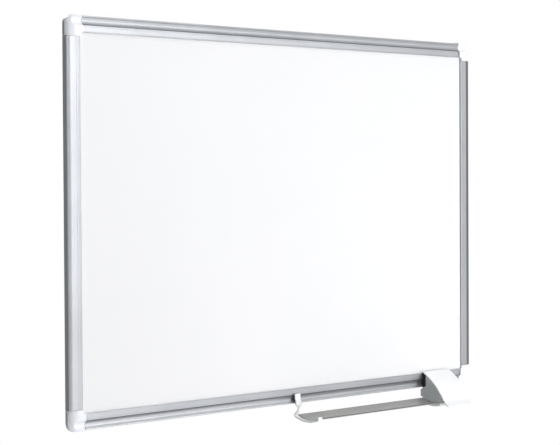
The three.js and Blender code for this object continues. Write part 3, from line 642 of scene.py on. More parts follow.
def carved(piece: bpy.types.Object, cutters: Sequence[bpy.types.Object],
           crease: float) -> bpy.types.Object:
    """Cut other objects out of one and remove them.

    Args:
        piece: The object that is cut.
        cutters: The objects that are cut out of it.
        crease: Angle in degrees above which an edge stays sharp.

    Returns:
        The piece with its new mesh.
    """
    for cutter in cutters:
        rule = piece.modifiers.new("Cut", "BOOLEAN")
        rule.operation = "DIFFERENCE"
        rule.solver = "MANIFOLD"
        rule.object = cutter
    graph = bpy.context.evaluated_depsgraph_get()
    mesh = bpy.data.meshes.new_from_object(piece.evaluated_get(graph))
    name = piece.name
    bpy.data.objects.remove(piece)
    for cutter in cutters:
        bpy.data.objects.remove(cutter)
    return settle(name, mesh, crease)


def finish_piece(piece: bpy.types.Object, material: bpy.types.Material, body: Body,
                 slot: Slot, *nodes: str) -> None:
    """Dress a piece, hang it on its body and hide the solids that it replaces.

    Args:
        piece: The new object.
        material: Its material.
        body: The body that it rides on.
        slot: The record's material slot; not used.
        nodes: The solids that it replaces.
    """
    piece.data.materials.clear()
    piece.data.materials.append(material)
    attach(piece, body.value)
    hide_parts(*nodes)
    log.info("%s: %d faces on %s", piece.name, len(piece.data.polygons), body.value)


def along_runs(line: Sequence[Vector]) -> list[float]:
    """Measure how far each point of a line lies from its start, along the line.

    Args:
        line: The points in order.

    Returns:
        The distances in order.
    """
    runs = [0.0]
    for before, after in zip(line, line[1:]):
        runs.append(runs[-1] + (after - before).length)
    return runs


def way_across(line: Sequence[Vector], i: int) -> Vector:
    """Return the direction a quarter turn ahead of a line's own at one of its points."""
    along = (line[min(i + 1, len(line) - 1)] - line[max(i - 1, 0)]).normalized()
    return Vector((-along.y, along.x))


class Bow:
    """An arc through two points that sags to one side, seen along X."""

    def __init__(self, start: Point, end: Point, sag: float) -> None:
        """Fit the arc.

        Args:
            start: First end, as Y and Z.
            end: Second end, as Y and Z.
            sag: How far the arc leaves its chord.
        """
        first, second = Vector(start), Vector(end)
        self.along = (second - first).normalized()
        self.inward = Vector((self.along.y, -self.along.x))
        chord = (second - first).length
        self.radius = arc_radius(chord, sag)
        self.half = math.asin(chord / 2 / self.radius)
        self.centre = (first + second) / 2 + self.inward * (self.radius - sag)

    def outward(self, angle: float) -> Vector:
        """Return the direction from the centre at an angle."""
        return self.along * math.sin(angle) - self.inward * math.cos(angle)

    def at(self, angle: float, offset: float = 0.0) -> Vector:
        """Return the point at an angle, set off from the arc."""
        return self.centre + self.outward(angle) * (self.radius + offset)

    def angle_where(self, reached: Callable[[Vector], bool], offset: float) -> float:
        """Find the angle at which a test turns false.

        Args:
            reached: Test that holds from the first end up to the wanted place.
            offset: How far the arc is set off.

        Returns:
            The angle.
        """
        low, high = -self.half, self.half
        for _ in range(HALVINGS):
            middle = (low + high) / 2
            if reached(self.at(middle, offset)):
                low = middle
            else:
                high = middle
        return (low + high) / 2

    def points(self, start: float, end: float, offset: float, steps: int) -> list[Vector]:
        """Return points between two angles."""
        return [self.at(start + (end - start) * i / steps, offset) for i in range(steps + 1)]


def arc(centre: Point, radii: Point, start: float, end: float, steps: int) -> list[Point]:
    """Return points of an ellipse's arc.

    Args:
        centre: Its centre.
        radii: Its two radii.
        start: First angle in degrees.
        end: Last angle in degrees.
        steps: Number of pieces.

    Returns:
        The points in order.
    """
    angles = [math.radians(start + (end - start) * i / steps) for i in range(steps + 1)]
    return [(centre[0] + radii[0] * math.cos(a), centre[1] + radii[1] * math.sin(a))
            for a in angles]


@dataclass
class Channel:
    """The channel along the top and bottom rails, in which the tray slides."""

    start: float = 1.9
    width: float = 10.6
    sag: float = 2.3
    edge_drop: float = 0.2
    radius: float = field(init=False)
    half_angle: float = field(init=False)
    middle: float = field(init=False)
    floor: float = field(init=False)
    centre: float = field(init=False)

    def __post_init__(self) -> None:
        """Work out the channel's arc."""
        self.radius = arc_radius(self.width, self.sag)
        self.half_angle = math.degrees(math.asin(self.width / 2 / self.radius))
        self.middle = self.start + self.width / 2
        self.floor = -(FRAME_DEPTH - self.edge_drop - self.sag)
        self.centre = self.floor - self.radius


@dataclass
class Rails:
    """The four aluminium rails, cut square between the corner caps."""

    channel: Channel
    depth: float = FRAME_DEPTH
    wall: float = 1.2
    lip: float = 2.0
    lip_round: float = 0.5
    flange: float = 1.0
    flange_reach: float = 18.0
    chamber: float = 14.4
    rim_radius: float = 1.2
    floor_wall: float = 1.2
    groove_width: float = 1.3
    groove_depth: float = 1.8
    groove_lean: float = 0.2
    groove_round: float = 0.4
    line_width: float = 0.4
    line_depth: float = 0.2
    side_band: float = 7.0
    side_round: float = 8.5
    crease_width: float = 0.5
    crease_depth: float = 0.35
    side_wall_top: float = 6.2
    side_wall_lean: float = 0.4
    horizontal_lines: tuple[float, ...] = (16.0, 22.6)
    vertical_lines: tuple[float, ...] = (16.6, 20.2)
    # The seven fields below place the painted bands: painted shade over the groove, on the side
    # crease, on the outer side and on the right rail's limb, and a painted highlight along the
    # bottom rail's rim.
    groove_shade_overrun: float = 0.05
    rim_highlight_in: float = 1.7
    rim_highlight_half: float = 1.8
    crease_half: float = 0.4
    outer_side_shade_half: float = 0.05
    limb_shade_in: float = 4.6
    limb_shade_half: float = 5.0
    lip_steps: int = 5
    rim_steps: int = 8
    channel_steps: int = 28
    groove_steps: int = 4
    side_steps: int = 18

    def fine_lines(self, places: Sequence[float]) -> list[Point]:
        """Give the small V grooves drawn along the face.

        Args:
            places: Distances of the grooves from the outer edge.

        Returns:
            Three points for each groove.
        """
        half = self.line_width / 2
        return [point for place in places
                for point in ((place - half, -self.depth),
                              (place, -(self.depth - self.line_depth)),
                              (place + half, -self.depth))]

    def lip_end(self) -> list[Point]:
        """Give the rounded end of the lip that holds the panel.

        Returns:
            The points in order.
        """
        radius = self.lip_round
        centre = (RAIL_FACE - radius, -(self.depth - radius))
        return [*arc(centre, (radius, radius), -90, 0, self.lip_steps),
                (RAIL_FACE, -(self.depth - self.lip))]

    def back(self) -> list[Point]:
        """Return the back flange at the wall."""
        return [(self.wall, -self.flange), (self.flange_reach, -self.flange),
                (self.flange_reach, 0.0)]

    def horizontal_section(self) -> list[Point]:
        """Give the section of the top and bottom rails.

        Returns:
            The points, as distance from the outer edge and Y.
        """
        channel = self.channel
        groove_start = channel.start + channel.width
        groove_end = groove_start + self.groove_width
        groove_floor = -(self.depth - self.groove_depth)
        groove_top = -(self.depth - self.groove_round)
        chamber_front = channel.floor + self.floor_wall
        rim_centre = (self.rim_radius, -(self.depth - self.rim_radius))
        return [
            (0.0, 0.0),
            *arc(rim_centre, (self.rim_radius, self.rim_radius), 180, 270, self.rim_steps),
            *arc((channel.middle, channel.centre), (channel.radius, channel.radius),
                 90 + channel.half_angle, 90 - channel.half_angle, self.channel_steps),
            (groove_start + self.groove_lean, groove_floor),
            (groove_end, groove_floor),
            (groove_end, groove_top),
            *arc((groove_end + self.groove_round, groove_top),
                 (self.groove_round, self.groove_round), 180, 270, self.groove_steps)[1:],
            *self.fine_lines(self.horizontal_lines),
            *self.lip_end(),
            (self.chamber, -(self.depth - self.lip)),
            (self.chamber, chamber_front),
            (self.wall, chamber_front),
            *self.back(),
        ]

    def vertical_section(self) -> list[Point]:
        """Give the section of the left and right rails.

        Returns:
            The points, as distance from the outer edge and Y.
        """
        return [
            (0.0, 0.0),
            (0.0, -(self.side_band - self.crease_width)),
            (self.crease_depth, -(self.side_band - self.crease_width / 2)),
            *arc((self.side_round, -self.side_band),
                 (self.side_round, self.depth - self.side_band), 180, 270, self.side_steps),
            *self.fine_lines(self.vertical_lines),
            *self.lip_end(),
            (self.side_round, -(self.depth - self.lip)),
            (self.wall + self.side_wall_lean, -self.side_wall_top),
            *self.back(),
        ]

    def finishes(self) -> dict[str, Anodised]:
        """Work out the finish of each rail, with painted shade over its groove, side crease, outer
        side and right limb, and a painted highlight along the bottom rail's rim.

        Returns:
            The finishes by the rails' names.
        """
        low, high = shade(142, 144, 148), shade(156, 158, 162)
        edge = HALF_HEIGHT - CAP_PROUD
        groove = edge - self.channel.start - self.channel.width - self.groove_width / 2
        crease = self.side_band - self.crease_width / 2
        # Painted shade: a dark band over the groove of the top and bottom rails.
        groove_shade = Line(Axis.Z, groove, self.groove_width / 2 + self.groove_shade_overrun,
                    shade(104, 107, 111), metallic=0.35)
        # Painted highlight: a lighter band along the bottom rail's outer rim.
        rim_highlight = Line(Axis.Z, edge - self.rim_highlight_in, self.rim_highlight_half, shade(170, 172, 176),
                   metallic=0.55)
        # Painted shade: a dark line on the side rails' crease, and a darker band on their outer
        # side face.
        side_shades = (Line(Axis.Y, crease, self.crease_half, shade(38, 40, 43), metallic=0.3),
                 Line(Axis.X, HALF_WIDTH, self.outer_side_shade_half, shade(126, 128, 132), metallic=0.5))
        # Painted shade: a dark band over the right rail's rounded outer edge.
        limb_shade = Line(Axis.X, HALF_WIDTH - self.limb_shade_in, self.limb_shade_half, shade(86, 88, 92),
                    metallic=0.3)
        return {
            "top_rail": Anodised("rail_aluminium_top", Run.ACROSS, low, high, marks=(groove_shade,)),
            "bottom_rail": Anodised("rail_aluminium_bottom", Run.ACROSS, low, high,
                                    marks=(groove_shade, rim_highlight)),
            "left_rail": Anodised("rail_aluminium_left", Run.UPRIGHT, low, high, marks=side_shades),
            "right_rail": Anodised("rail_aluminium_right", Run.UPRIGHT, low, high,
                                   marks=(*side_shades, limb_shade)),
        }

    def profile(self, node: str, rings: Sequence[Sequence[Place]], finish: Anodised) -> None:
        """Build and dress one rail.

        Args:
            node: Name of the solid that it replaces.
            rings: Its section at both ends.
            finish: Its finish.
        """
        form = Form()
        form.loft(rings)
        finish_piece(form.build(f"{node}_profile"), finish.make(), Body.FRAME, Slot.RAIL, node)

    def build(self) -> None:
        """Build and dress the four rails."""
        finishes = self.finishes()
        half_x = HALF_WIDTH - CAP_LEG_X - FIT_GAP
        half_z = HALF_HEIGHT - CAP_LEG_Z - FIT_GAP
        edge = HALF_HEIGHT - CAP_PROUD
        for level in (Level.TOP, Level.BOTTOM):
            node = f"{level.label}_rail"
            rings = [[(x, y, level.value * (edge - u)) for u, y in self.horizontal_section()]
                     for x in (-half_x, half_x)]
            self.profile(node, rings, finishes[node])
        for side in Side:
            node = f"{side.label}_rail"
            rings = [[(side.value * (HALF_WIDTH - u), y, z) for u, y in self.vertical_section()]
                     for z in (-half_z, half_z)]
            self.profile(node, rings, finishes[node])


@dataclass
class CornerCaps:
    """The four moulded corner caps, with the scoop that ends the rails' channel."""

    channel: Channel
    depth: float = 12.5
    radius: float = 14.0
    wall: float = 1.3
    pocket: float = 4.5
    panel_room: float = 8.5
    panel_edge: float = 15.0
    side_band: float = 5.2
    top_band: float = 8.4
    dome: float = 3.2
    scoop_start: float = 13.4
    soft: float = 0.35
    crease: float = 40.0
    leg_steps: int = 30
    corner_steps: int = 28
    pocket_steps: int = 14
    dome_steps: int = 60
    dome_crowding: float = 1.3
    white: Moulded = Moulded("cap_plastic", shade(240, 243, 251), shade(246, 249, 255),
                             glow=0.3)

    def columns(self) -> list[tuple[Vector, Vector]]:
        """Lay straight lines across the cap, in order round the corner.

        Returns:
            The outer and inner end of each line.
        """
        corner = Vector((RAIL_FACE, RAIL_FACE + CAP_PROUD))
        columns = []
        for i in range(self.leg_steps):
            x = CAP_LEG_X + (self.radius - CAP_LEG_X) * i / self.leg_steps
            columns.append((Vector((x, 0)), Vector((max(x, corner.x), corner.y))))
        for i in range(self.corner_steps + 1):
            angle = i / self.corner_steps * math.pi / 2
            inward = Vector((math.sin(angle), math.cos(angle)))
            columns.append((Vector((self.radius, self.radius)) - inward * self.radius, corner))
        for i in range(1, self.leg_steps + 1):
            z = self.radius + (CAP_LEG_Z - self.radius) * i / self.leg_steps
            columns.append((Vector((0, z)), Vector((corner.x, max(z, corner.y)))))
        return columns

    def front(self, place: Vector) -> float:
        """Give the height of the domed front, which falls away towards the outer edges.

        Args:
            place: Place on the cap, from its outer corner.

        Returns:
            The height over the wall.
        """
        along_x = max(1 - place.x / RAIL_FACE, 0.0) ** self.dome
        along_z = max(1 - place.y / (RAIL_FACE + CAP_PROUD), 0.0) ** self.dome
        return (self.depth - (self.depth - self.side_band) * along_x
                - (self.depth - self.top_band) * along_z)

    def scoop_height(self, place: Vector) -> float:
        """Give the height of the scoop's surface, or a large one beside the scoop.

        Args:
            place: Place on the cap, from its outer corner.

        Returns:
            The height over the wall.
        """
        channel = self.channel
        across = place.y - CAP_PROUD - channel.middle
        along = min(place.x - self.scoop_start, 0.0)
        left = channel.radius ** 2 - across ** 2 - along ** 2
        if left <= 0:
            return self.depth * 2
        return -channel.centre - math.sqrt(left)

    def surface(self, place: Vector) -> float:
        """Give the height of the front with the scoop in it, softened where they meet.

        Args:
            place: Place on the cap, from its outer corner.

        Returns:
            The height over the wall.
        """
        height = self.front(place)
        scoop = self.scoop_height(place)
        mixed = min(max(0.5 + 0.5 * (scoop - height) / self.soft, 0.0), 1.0)
        return scoop + (height - scoop) * mixed - self.soft * mixed * (1 - mixed)

    def block(self, name: str, side: Side, level: Level) -> bpy.types.Object:
        """Build a cap before its pocket is cut.

        Args:
            name: Name of the object.
            side: The side of the board that it is on.
            level: The level of the board that it is on.

        Returns:
            The closed block.
        """
        def placed(place: Vector, height: float) -> Place:
            """Return a point of the cap in the board's own axes."""
            return (side.value * (HALF_WIDTH - place.x), -height,
                    level.value * (HALF_HEIGHT - place.y))

        form = Form()
        fronts: list[list[int]] = []
        backs: list[list[int]] = []
        for outer, inner in self.columns():
            places = [outer.lerp(inner, (k / self.dome_steps) ** self.dome_crowding)
                      for k in range(self.dome_steps + 1)]
            fronts.append(form.ring(placed(p, self.surface(p)) for p in places))
            backs.append(form.ring(placed(p, 0.0) for p in places))
        for (front, back), (next_front, next_back) in zip(
                zip(fronts, backs), zip(fronts[1:], backs[1:])):
            form.bridge(front, next_front, closed=False)
            form.bridge(back, next_back, closed=False)
            form.faces.append([front[0], next_front[0], next_back[0], back[0]])
            form.faces.append([front[-1], next_front[-1], next_back[-1], back[-1]])
        for front, back in ((fronts[0], backs[0]), (fronts[-1], backs[-1])):
            form.bridge(front, back, closed=False)
        return form.build(name, self.crease)

    def cutters(self, side: Side, level: Level) -> list[bpy.types.Object]:
        """Build what is cut out of a cap's back: its pocket and the panel's room.

        Args:
            side: The side of the board that the cap is on.
            level: The level of the board that the cap is on.

        Returns:
            The two cutters.
        """
        def solid(outline: Sequence[Point], height: float, name: str) -> bpy.types.Object:
            """Build a prism from behind the cap up to a height.

            Args:
                outline: Its outline, from the cap's outer corner.
                height: The height over the wall.
                name: Name of the object.

            Returns:
                The new object.
            """
            form = Form()
            form.loft([[(side.value * (HALF_WIDTH - x), -y, level.value * (HALF_HEIGHT - z))
                        for x, z in outline] for y in (height, -CUT_PAST)])
            return form.build(name)

        far_x, far_z = CAP_LEG_X + CUT_PAST, CAP_LEG_Z + CUT_PAST
        reach = self.panel_edge + CAP_PROUD
        corner = self.radius - self.wall
        middle = self.wall + corner
        pocket = [(far_x, self.wall),
                  *arc((middle, middle), (corner, corner), 270, 180, self.pocket_steps),
                  (self.wall, far_z), (reach, far_z), (reach, reach), (far_x, reach)]
        edge_x, edge_z = self.panel_edge - FIT_GAP, reach - FIT_GAP
        room = [(edge_x, edge_z), (far_x, edge_z), (far_x, far_z), (edge_x, far_z)]
        return [solid(pocket, self.pocket, "pocket"), solid(room, self.panel_room, "room")]

    def build(self) -> None:
        """Build and dress the four caps."""
        white = self.white.make()
        for side in Side:
            for level in Level:
                name = f"{level.label}_{side.label}_corner_cap"
                block = self.block(f"{name}_moulding", side, level)
                cap = carved(block, self.cutters(side, level), self.crease)
                finish_piece(cap, white, Body.FRAME, Slot.WHITE, name)


@dataclass(frozen=True)
class Station:
    """One place along a ribbon, with its reach along X and its thickness."""

    middle: Vector
    start: float
    end: float
    thickness: float


def through(knots: Sequence[Vector], steps: int) -> list[Vector]:
    """Return evenly spaced points of a smooth curve through knots.

    Args:
        knots: The points that it passes.
        steps: Number of pieces.

    Returns:
        The points in order.
    """
    def tangent(first: Vector, second: Vector, third: Vector) -> tuple[float, Vector]:
        """Work out the curve's slope at the second of three knots.

        Args:
            first: The knot before it.
            second: The knot.
            third: The knot after it.

        Returns:
            The square root of the distance to the next knot, and the slope.
        """
        before = max((second - first).length ** 0.5, SHORTEST_STEP)
        after = max((third - second).length ** 0.5, SHORTEST_STEP)
        slope = ((second - first) / before - (third - first) / (before + after)
                 + (third - second) / after)
        return after, slope

    ends = [knots[0] * 2 - knots[1], *knots, knots[-1] * 2 - knots[-2]]
    fine: list[Vector] = []
    for i in range(1, len(ends) - 2):
        p0, p1, p2, p3 = ends[i - 1:i + 3]
        span, slope_in = tangent(p0, p1, p2)
        _, slope_out = tangent(p1, p2, p3)
        start, end = slope_in * span, slope_out * span
        for k in range(KNOT_STEPS):
            t = k / KNOT_STEPS
            fine.append(p1 * (2 * t ** 3 - 3 * t ** 2 + 1) + start * (t ** 3 - 2 * t ** 2 + t)
                        + p2 * (3 * t ** 2 - 2 * t ** 3) + end * (t ** 3 - t ** 2))
    fine.append(knots[-1].copy())
    runs = along_runs(fine)
    spaced: list[Vector] = []
    place = 0
    for k in range(steps + 1):
        wanted = runs[-1] * k / steps
        while place < len(runs) - 2 and runs[place + 1] < wanted:
            place += 1
        share = (wanted - runs[place]) / max(runs[place + 1] - runs[place], SHORTEST_RUN)
        spaced.append(fine[place].lerp(fine[place + 1], share))
    return spaced


def ribbon(stations: Sequence[Station], name: str, edge: float) -> bpy.types.Object:
    """Build a ribbon through stations, with rounded edges.

    Args:
        stations: The places along it.
        name: Name of the object.
        edge: Radius of its long edges, which is less where the ribbon is thin or narrow.

    Returns:
        The new object.
    """
    corner_steps = 4
    most_of_half, most_of_width = 0.95, 0.45
    line = [station.middle for station in stations]
    rings = []
    for i, station in enumerate(stations):
        across = way_across(line, i)
        half = station.thickness / 2
        radius = min(edge, half * most_of_half, (station.end - station.start) * most_of_width)
        ring = []
        for corner_x, side, start in ((station.end - radius, 1, 90), (station.end - radius, -1, 0),
                                      (station.start + radius, -1, 270),
                                      (station.start + radius, 1, 180)):
            for k in range(corner_steps + 1):
                angle = math.radians(start - 90 * k / corner_steps)
                lift = side * (half - radius) + radius * math.sin(angle)
                ring.append((corner_x + radius * math.cos(angle),
                             *(station.middle + across * lift)))
        rings.append(ring)
    form = Form()
    form.loft(rings)
    return form.build(name, RIBBON_CREASE)


@dataclass
class Tray:
    """The pen gutter with the parts that hang it on the bottom rail."""

    channel: Channel
    eraser_from_side: float = 61.1
    eraser_width: float = 68.6
    gutter_length: float = 306.0
    gutter_back: float = 13.0
    gutter_depth: float = 47.5
    gutter_drop: float = 16.2
    gutter_tilt: float = 2.6
    gutter_sag: float = 5.0
    gutter_crease: float = 35.0
    thickness: float = 1.4
    bead: float = 0.9
    bead_shade_out: float = 0.3
    strip_thickness: float = 2.0
    strip_width: float = 9.3
    strip_under: float = 1.8
    neck_width: float = 2.8
    neck_thickness: float = 1.6
    neck_to_right: float = 1.0
    neck_bend_share: float = 0.25
    plate_width: float = 12.0
    plate_lead: float = 2.4
    plate_top: float = 17.4
    plate_back: float = 13.3
    bulge_out: float = 16.4
    bulge_height: float = 0.2
    bracket_edge: float = 0.45
    holder_back: float = 13.8
    holder_top: float = 14.6
    holder_plate: float = 2.4
    holder_floor: float = 4.1
    holder_overlap: float = 4.5
    holder_front: float = 54.6
    holder_edge: float = 0.4
    cheek_recess: float = 0.5
    cheek_thickness: float = 2.0
    felt_gap: float = 0.4
    shoe_end: float = 1.4
    shoe_edge: float = 0.25
    left_shoe_bottom: float = -0.5
    left_shoe_top: float = 17.0
    left_shoe_inset: float = 3.8
    right_shoe_bottom: float = 0.9
    right_shoe_front: float = 17.2
    lift_slope: float = math.radians(30)
    heel_turn: float = math.radians(85)
    hook_turn: float = math.radians(140)
    trough_steps: int = 48
    bead_steps: int = 20
    neck_steps: int = 40
    heel_steps: int = 12
    under_steps: int = 40
    hook_steps: int = 20
    shoe_back_steps: int = 24
    shoe_front_steps: int = 10
    eraser_right: float = field(init=False)
    eraser_left: float = field(init=False)
    gutter_right: float = field(init=False)
    gutter_left: float = field(init=False)
    strip_right: float = field(init=False)
    strip_left: float = field(init=False)
    plate_left: float = field(init=False)
    plate_right: float = field(init=False)
    strip_reach: float = field(init=False)
    shoe_seat: float = field(init=False)
    inside_left: float = field(init=False)
    inside_right: float = field(init=False)
    bow: Bow = field(init=False)

    def __post_init__(self) -> None:
        """Work out the places along the tray and the gutter's arc."""
        self.eraser_right = HALF_WIDTH - self.eraser_from_side
        self.eraser_left = self.eraser_right - self.eraser_width
        self.gutter_right = self.eraser_left - FIT_GAP
        self.gutter_left = self.gutter_right - self.gutter_length
        self.strip_right = self.gutter_left + self.strip_under
        self.strip_left = self.strip_right - self.strip_width
        self.plate_left = self.strip_left - self.plate_lead
        self.plate_right = self.plate_left + self.plate_width
        self.strip_reach = self.bead + FIT_GAP + self.strip_thickness / 2
        self.shoe_seat = -(FRAME_DEPTH + FIT_GAP)
        inset = self.cheek_recess + self.cheek_thickness + self.felt_gap
        self.inside_left = self.eraser_left + inset
        self.inside_right = self.eraser_right - inset
        back = -self.gutter_back
        height = UNDERSIDE - self.gutter_drop
        self.bow = Bow((back, height), (back - self.gutter_depth, height - self.gutter_tilt),
                       self.gutter_sag)

    def bead_axes(self, bead: Bead) -> tuple[Vector, Vector, Vector]:
        """Find a bead of the gutter.

        Args:
            bead: The bead.

        Returns:
            Its middle, the direction down from it, and the one towards its free side.
        """
        angle = bead.value * self.bow.half
        down = self.bow.outward(angle)
        away = Vector((-down.y, down.x)) * -bead.value
        return self.bow.at(angle, self.thickness / 2), down, away

    def gutter(self) -> bpy.types.Object:
        """Build the gutter: a shallow trough with a round bead along each edge.

        Returns:
            The new object.
        """
        bow, half = self.bow, self.bow.half
        trim = math.sqrt(self.bead ** 2 - (self.thickness / 2) ** 2) / bow.radius

        def round_bead(bead: Bead) -> list[Vector]:
            """Give a bead's free side, from the inner face to the outer one.

            Args:
                bead: The bead.

            Returns:
                The points in order.
            """
            middle, down, away = self.bead_axes(bead)
            turns = [math.radians(180 - i * 180 / self.bead_steps)
                     for i in range(self.bead_steps + 1)]
            return [middle + down * math.cos(a) * self.bead + away * math.sin(a) * self.bead
                    for a in turns]

        inner = bow.points(-half + trim, half - trim, 0.0, self.trough_steps)
        outer = bow.points(half - trim, -half + trim, self.thickness, self.trough_steps)
        outline = [*inner, *round_bead(Bead.FRONT), *outer, *reversed(round_bead(Bead.BACK))]
        return prism(outline, (self.gutter_left, self.gutter_right), "pen_gutter_trough",
                     self.gutter_crease)

    def bead_wrap(self, bead: Bead, reach: float, turn: float, steps: int) -> list[Vector]:
        """Go round a bead, from below it towards its free side.

        Args:
            bead: The bead.
            reach: Distance from the bead's middle.
            turn: How far to go, in radians.
            steps: Number of pieces.

        Returns:
            The points in order.
        """
        middle, down, away = self.bead_axes(bead)
        return [middle + down * reach * math.cos(turn * i / steps)
                + away * reach * math.sin(turn * i / steps) for i in range(steps + 1)]

    def hanger(self, top: float, out: float, bulge: float,
               reach: float) -> tuple[list[Vector], list[Vector]]:
        """Lay the centre line of a hanger.

        Args:
            top: Height of the plate's top over the underside.
            out: How far the plate's top stands out from the wall.
            bulge: How far its bulge stands out.
            reach: Distance of the centre line from the bead's middle.

        Returns:
            The neck's points and the heel's points.
        """
        wrap = self.bead_wrap(Bead.BACK, reach, self.heel_turn, self.heel_steps)
        heel = list(reversed(wrap))
        foot = Vector((-bulge, UNDERSIDE + self.bulge_height))
        head = Vector((-out, UNDERSIDE + top))
        bend = Vector((head.x + (foot.x - head.x) * self.neck_bend_share, (head.y + foot.y) / 2))
        knots = [head, bend, foot, (foot + heel[0]) / 2, heel[0]]
        return through(knots, self.neck_steps)[:-1], heel

    def left_hanger(self) -> tuple[list[Vector], list[Vector]]:
        """Return the neck's points and the heel's points of the left bracket."""
        return self.hanger(self.plate_top, self.plate_back, self.bulge_out, self.strip_reach)

    def waist(self, point: Vector) -> Station:
        """Make the left hanger narrow and thin at its waist.

        Args:
            point: A point of its centre line.

        Returns:
            The station there.
        """
        height = UNDERSIDE - (self.gutter_drop / 2 - self.bulge_height)
        reach = self.gutter_drop / 2 + self.bulge_height
        ease = smooth_step(abs(point.y - height) / reach)
        full = ((self.plate_left, self.plate_right) if point.y > height
                else (self.strip_left, self.strip_right))
        middle = (self.strip_left + self.strip_right) / 2 + self.neck_to_right
        narrow = (middle - self.neck_width / 2, middle + self.neck_width / 2)
        low, high = (n + (f - n) * ease for n, f in zip(narrow, full))
        thick = self.neck_thickness + (self.strip_thickness - self.neck_thickness) * ease
        return Station(point, low, high, thick)

    def left_bracket(self) -> bpy.types.Object:
        """Build the bracket: plate, waist and a strip that hooks the gutter's front bead.

        Returns:
            The new object.
        """
        neck, heel = self.left_hanger()
        offset = self.thickness / 2 + self.bead + FIT_GAP + self.strip_thickness / 2
        under = self.bow.points(-self.bow.half, self.bow.half, offset, self.under_steps)[1:-1]
        hook = self.bead_wrap(Bead.FRONT, self.strip_reach, self.hook_turn, self.hook_steps)
        strip = [Station(p, self.strip_left, self.strip_right, self.strip_thickness)
                 for p in (*heel, *under, *hook)]
        return ribbon([*(self.waist(p) for p in neck), *strip], "left_bracket_moulding",
                      self.bracket_edge)

    def right_holder(self) -> bpy.types.Object:
        """Build the holder: a wide hanger whose floor carries the eraser.

        Returns:
            The new object.
        """
        reach = self.bead + FIT_GAP + self.holder_floor / 2
        neck, heel = self.hanger(self.holder_top, self.holder_back, self.holder_back, reach)
        offset = self.thickness / 2 + self.bead + FIT_GAP + self.holder_floor / 2
        front = self.bow.angle_where(lambda p: p.x > -self.holder_front, offset)
        under = self.bow.points(-self.bow.half, front, offset, self.under_steps)[1:]
        inset = self.shoe_end + FIT_GAP
        stations = []
        for i, point in enumerate([*neck, *heel, *under]):
            upper = i < len(neck) + len(heel)
            share = min(max(2 * i / len(neck) - 1, 0.0), 1.0)
            stations.append(Station(
                point,
                self.inside_left + inset if upper else self.gutter_right - self.holder_overlap,
                self.inside_right - inset,
                self.holder_plate + (self.holder_floor - self.holder_plate) * share,
            ))
        return ribbon(stations, "right_holder_moulding", self.holder_edge)

    def shoe_back(self, bottom: float) -> list[Point]:
        """Give the back of a shoe, which follows the channel at a running gap.

        Args:
            bottom: Height of the shoe's lower edge over the underside.

        Returns:
            The points in order.
        """
        channel = self.channel
        radius = channel.radius - FIT_GAP
        middle = UNDERSIDE + CAP_PROUD + channel.middle
        turn = math.degrees(math.acos((self.shoe_seat - channel.centre) / radius))
        return [(self.shoe_seat, UNDERSIDE + bottom),
                *arc((channel.centre, middle), (radius, radius), -turn, turn,
                     self.shoe_back_steps)]

    def left_shoe(self) -> bpy.types.Object:
        """Build the pad between the bracket's plate and the channel.

        Returns:
            The new object.
        """
        neck, _ = self.left_hanger()
        set_back = self.strip_thickness / 2 + FIT_GAP
        top = UNDERSIDE + self.left_shoe_top
        front = [(p.x + set_back, p.y) for p in neck
                 if UNDERSIDE + self.bulge_height < p.y < top]
        outline = [*self.shoe_back(self.left_shoe_bottom), (self.shoe_seat, top), *front]
        return prism(outline, (self.plate_left + self.left_shoe_inset, self.plate_right),
                     "left_shoe_pad", edge=self.shoe_edge)

    def right_shoe(self, shell: Bow) -> bpy.types.Object:
        """Build the long shoe behind the eraser.

        Args:
            shell: The outer arc of the eraser.

        Returns:
            The new object.
        """
        inset = ERASER_SKIN + self.felt_gap
        top = shell.angle_where(lambda p: p.x < self.shoe_seat - FIT_GAP, -inset)
        bottom = shell.angle_where(lambda p: p.x < -self.right_shoe_front, -inset)
        slope = (self.right_shoe_front + self.shoe_seat) * math.tan(self.lift_slope)
        outline = [*self.shoe_back(self.right_shoe_bottom),
                   (self.shoe_seat, shell.at(top, -inset).y),
                   *shell.points(top, bottom, -inset, self.shoe_front_steps),
                   (-self.right_shoe_front, UNDERSIDE + self.right_shoe_bottom + slope)]
        block = prism(outline, (self.eraser_left, self.eraser_right), "right_shoe_block",
                      edge=self.shoe_edge)
        half = self.holder_plate / 2 + FIT_GAP
        low = UNDERSIDE + self.right_shoe_bottom - CUT_PAST
        high = UNDERSIDE + self.holder_top + FIT_GAP
        front, back = -self.holder_back - half, -self.holder_back + half
        room = prism([(front, low), (back, low), (back, high), (front, high)],
                     (self.inside_left + self.shoe_end, self.inside_right - self.shoe_end), "room")
        return carved(block, [room], CREASE)

    def build(self, shell: Bow) -> None:
        """Build and dress the tray's pieces.

        Args:
            shell: The outer arc of the eraser.
        """
        front = self.gutter_back + self.gutter_depth
        # Painted shade: a dark band along the gutter's front bead.
        bead = Line(Axis.Y, front + self.bead_shade_out, self.bead, shade(96, 96, 95),
                    metallic=0.4)
        metal = Anodised("gutter_aluminium", Run.ACROSS, shade(158, 160, 160),
                         shade(182, 181, 177), metallic=0.5, marks=(bead,)).make()
        white = Moulded("bracket_plastic", shade(246, 248, 252), shade(251, 252, 255),
                        glow=0.2).make()
        black = Grained("shoe_rubber", shade(14, 14, 15), shade(26, 26, 27),
                        grains_per_metre=1800.0, depth=0.00004).make()
        body = Body.TRAY
        finish_piece(self.gutter(), metal, body, Slot.GUTTER, "pen_gutter")
        finish_piece(self.left_bracket(), white, body, Slot.WHITE, "left_bracket")
        finish_piece(self.right_holder(), white, body, Slot.WHITE, "right_holder")
        finish_piece(self.left_shoe(), black, body, Slot.RUBBER, "left_shoe")
        finish_piece(self.right_shoe(shell), black, body, Slot.RUBBER, "right_shoe")


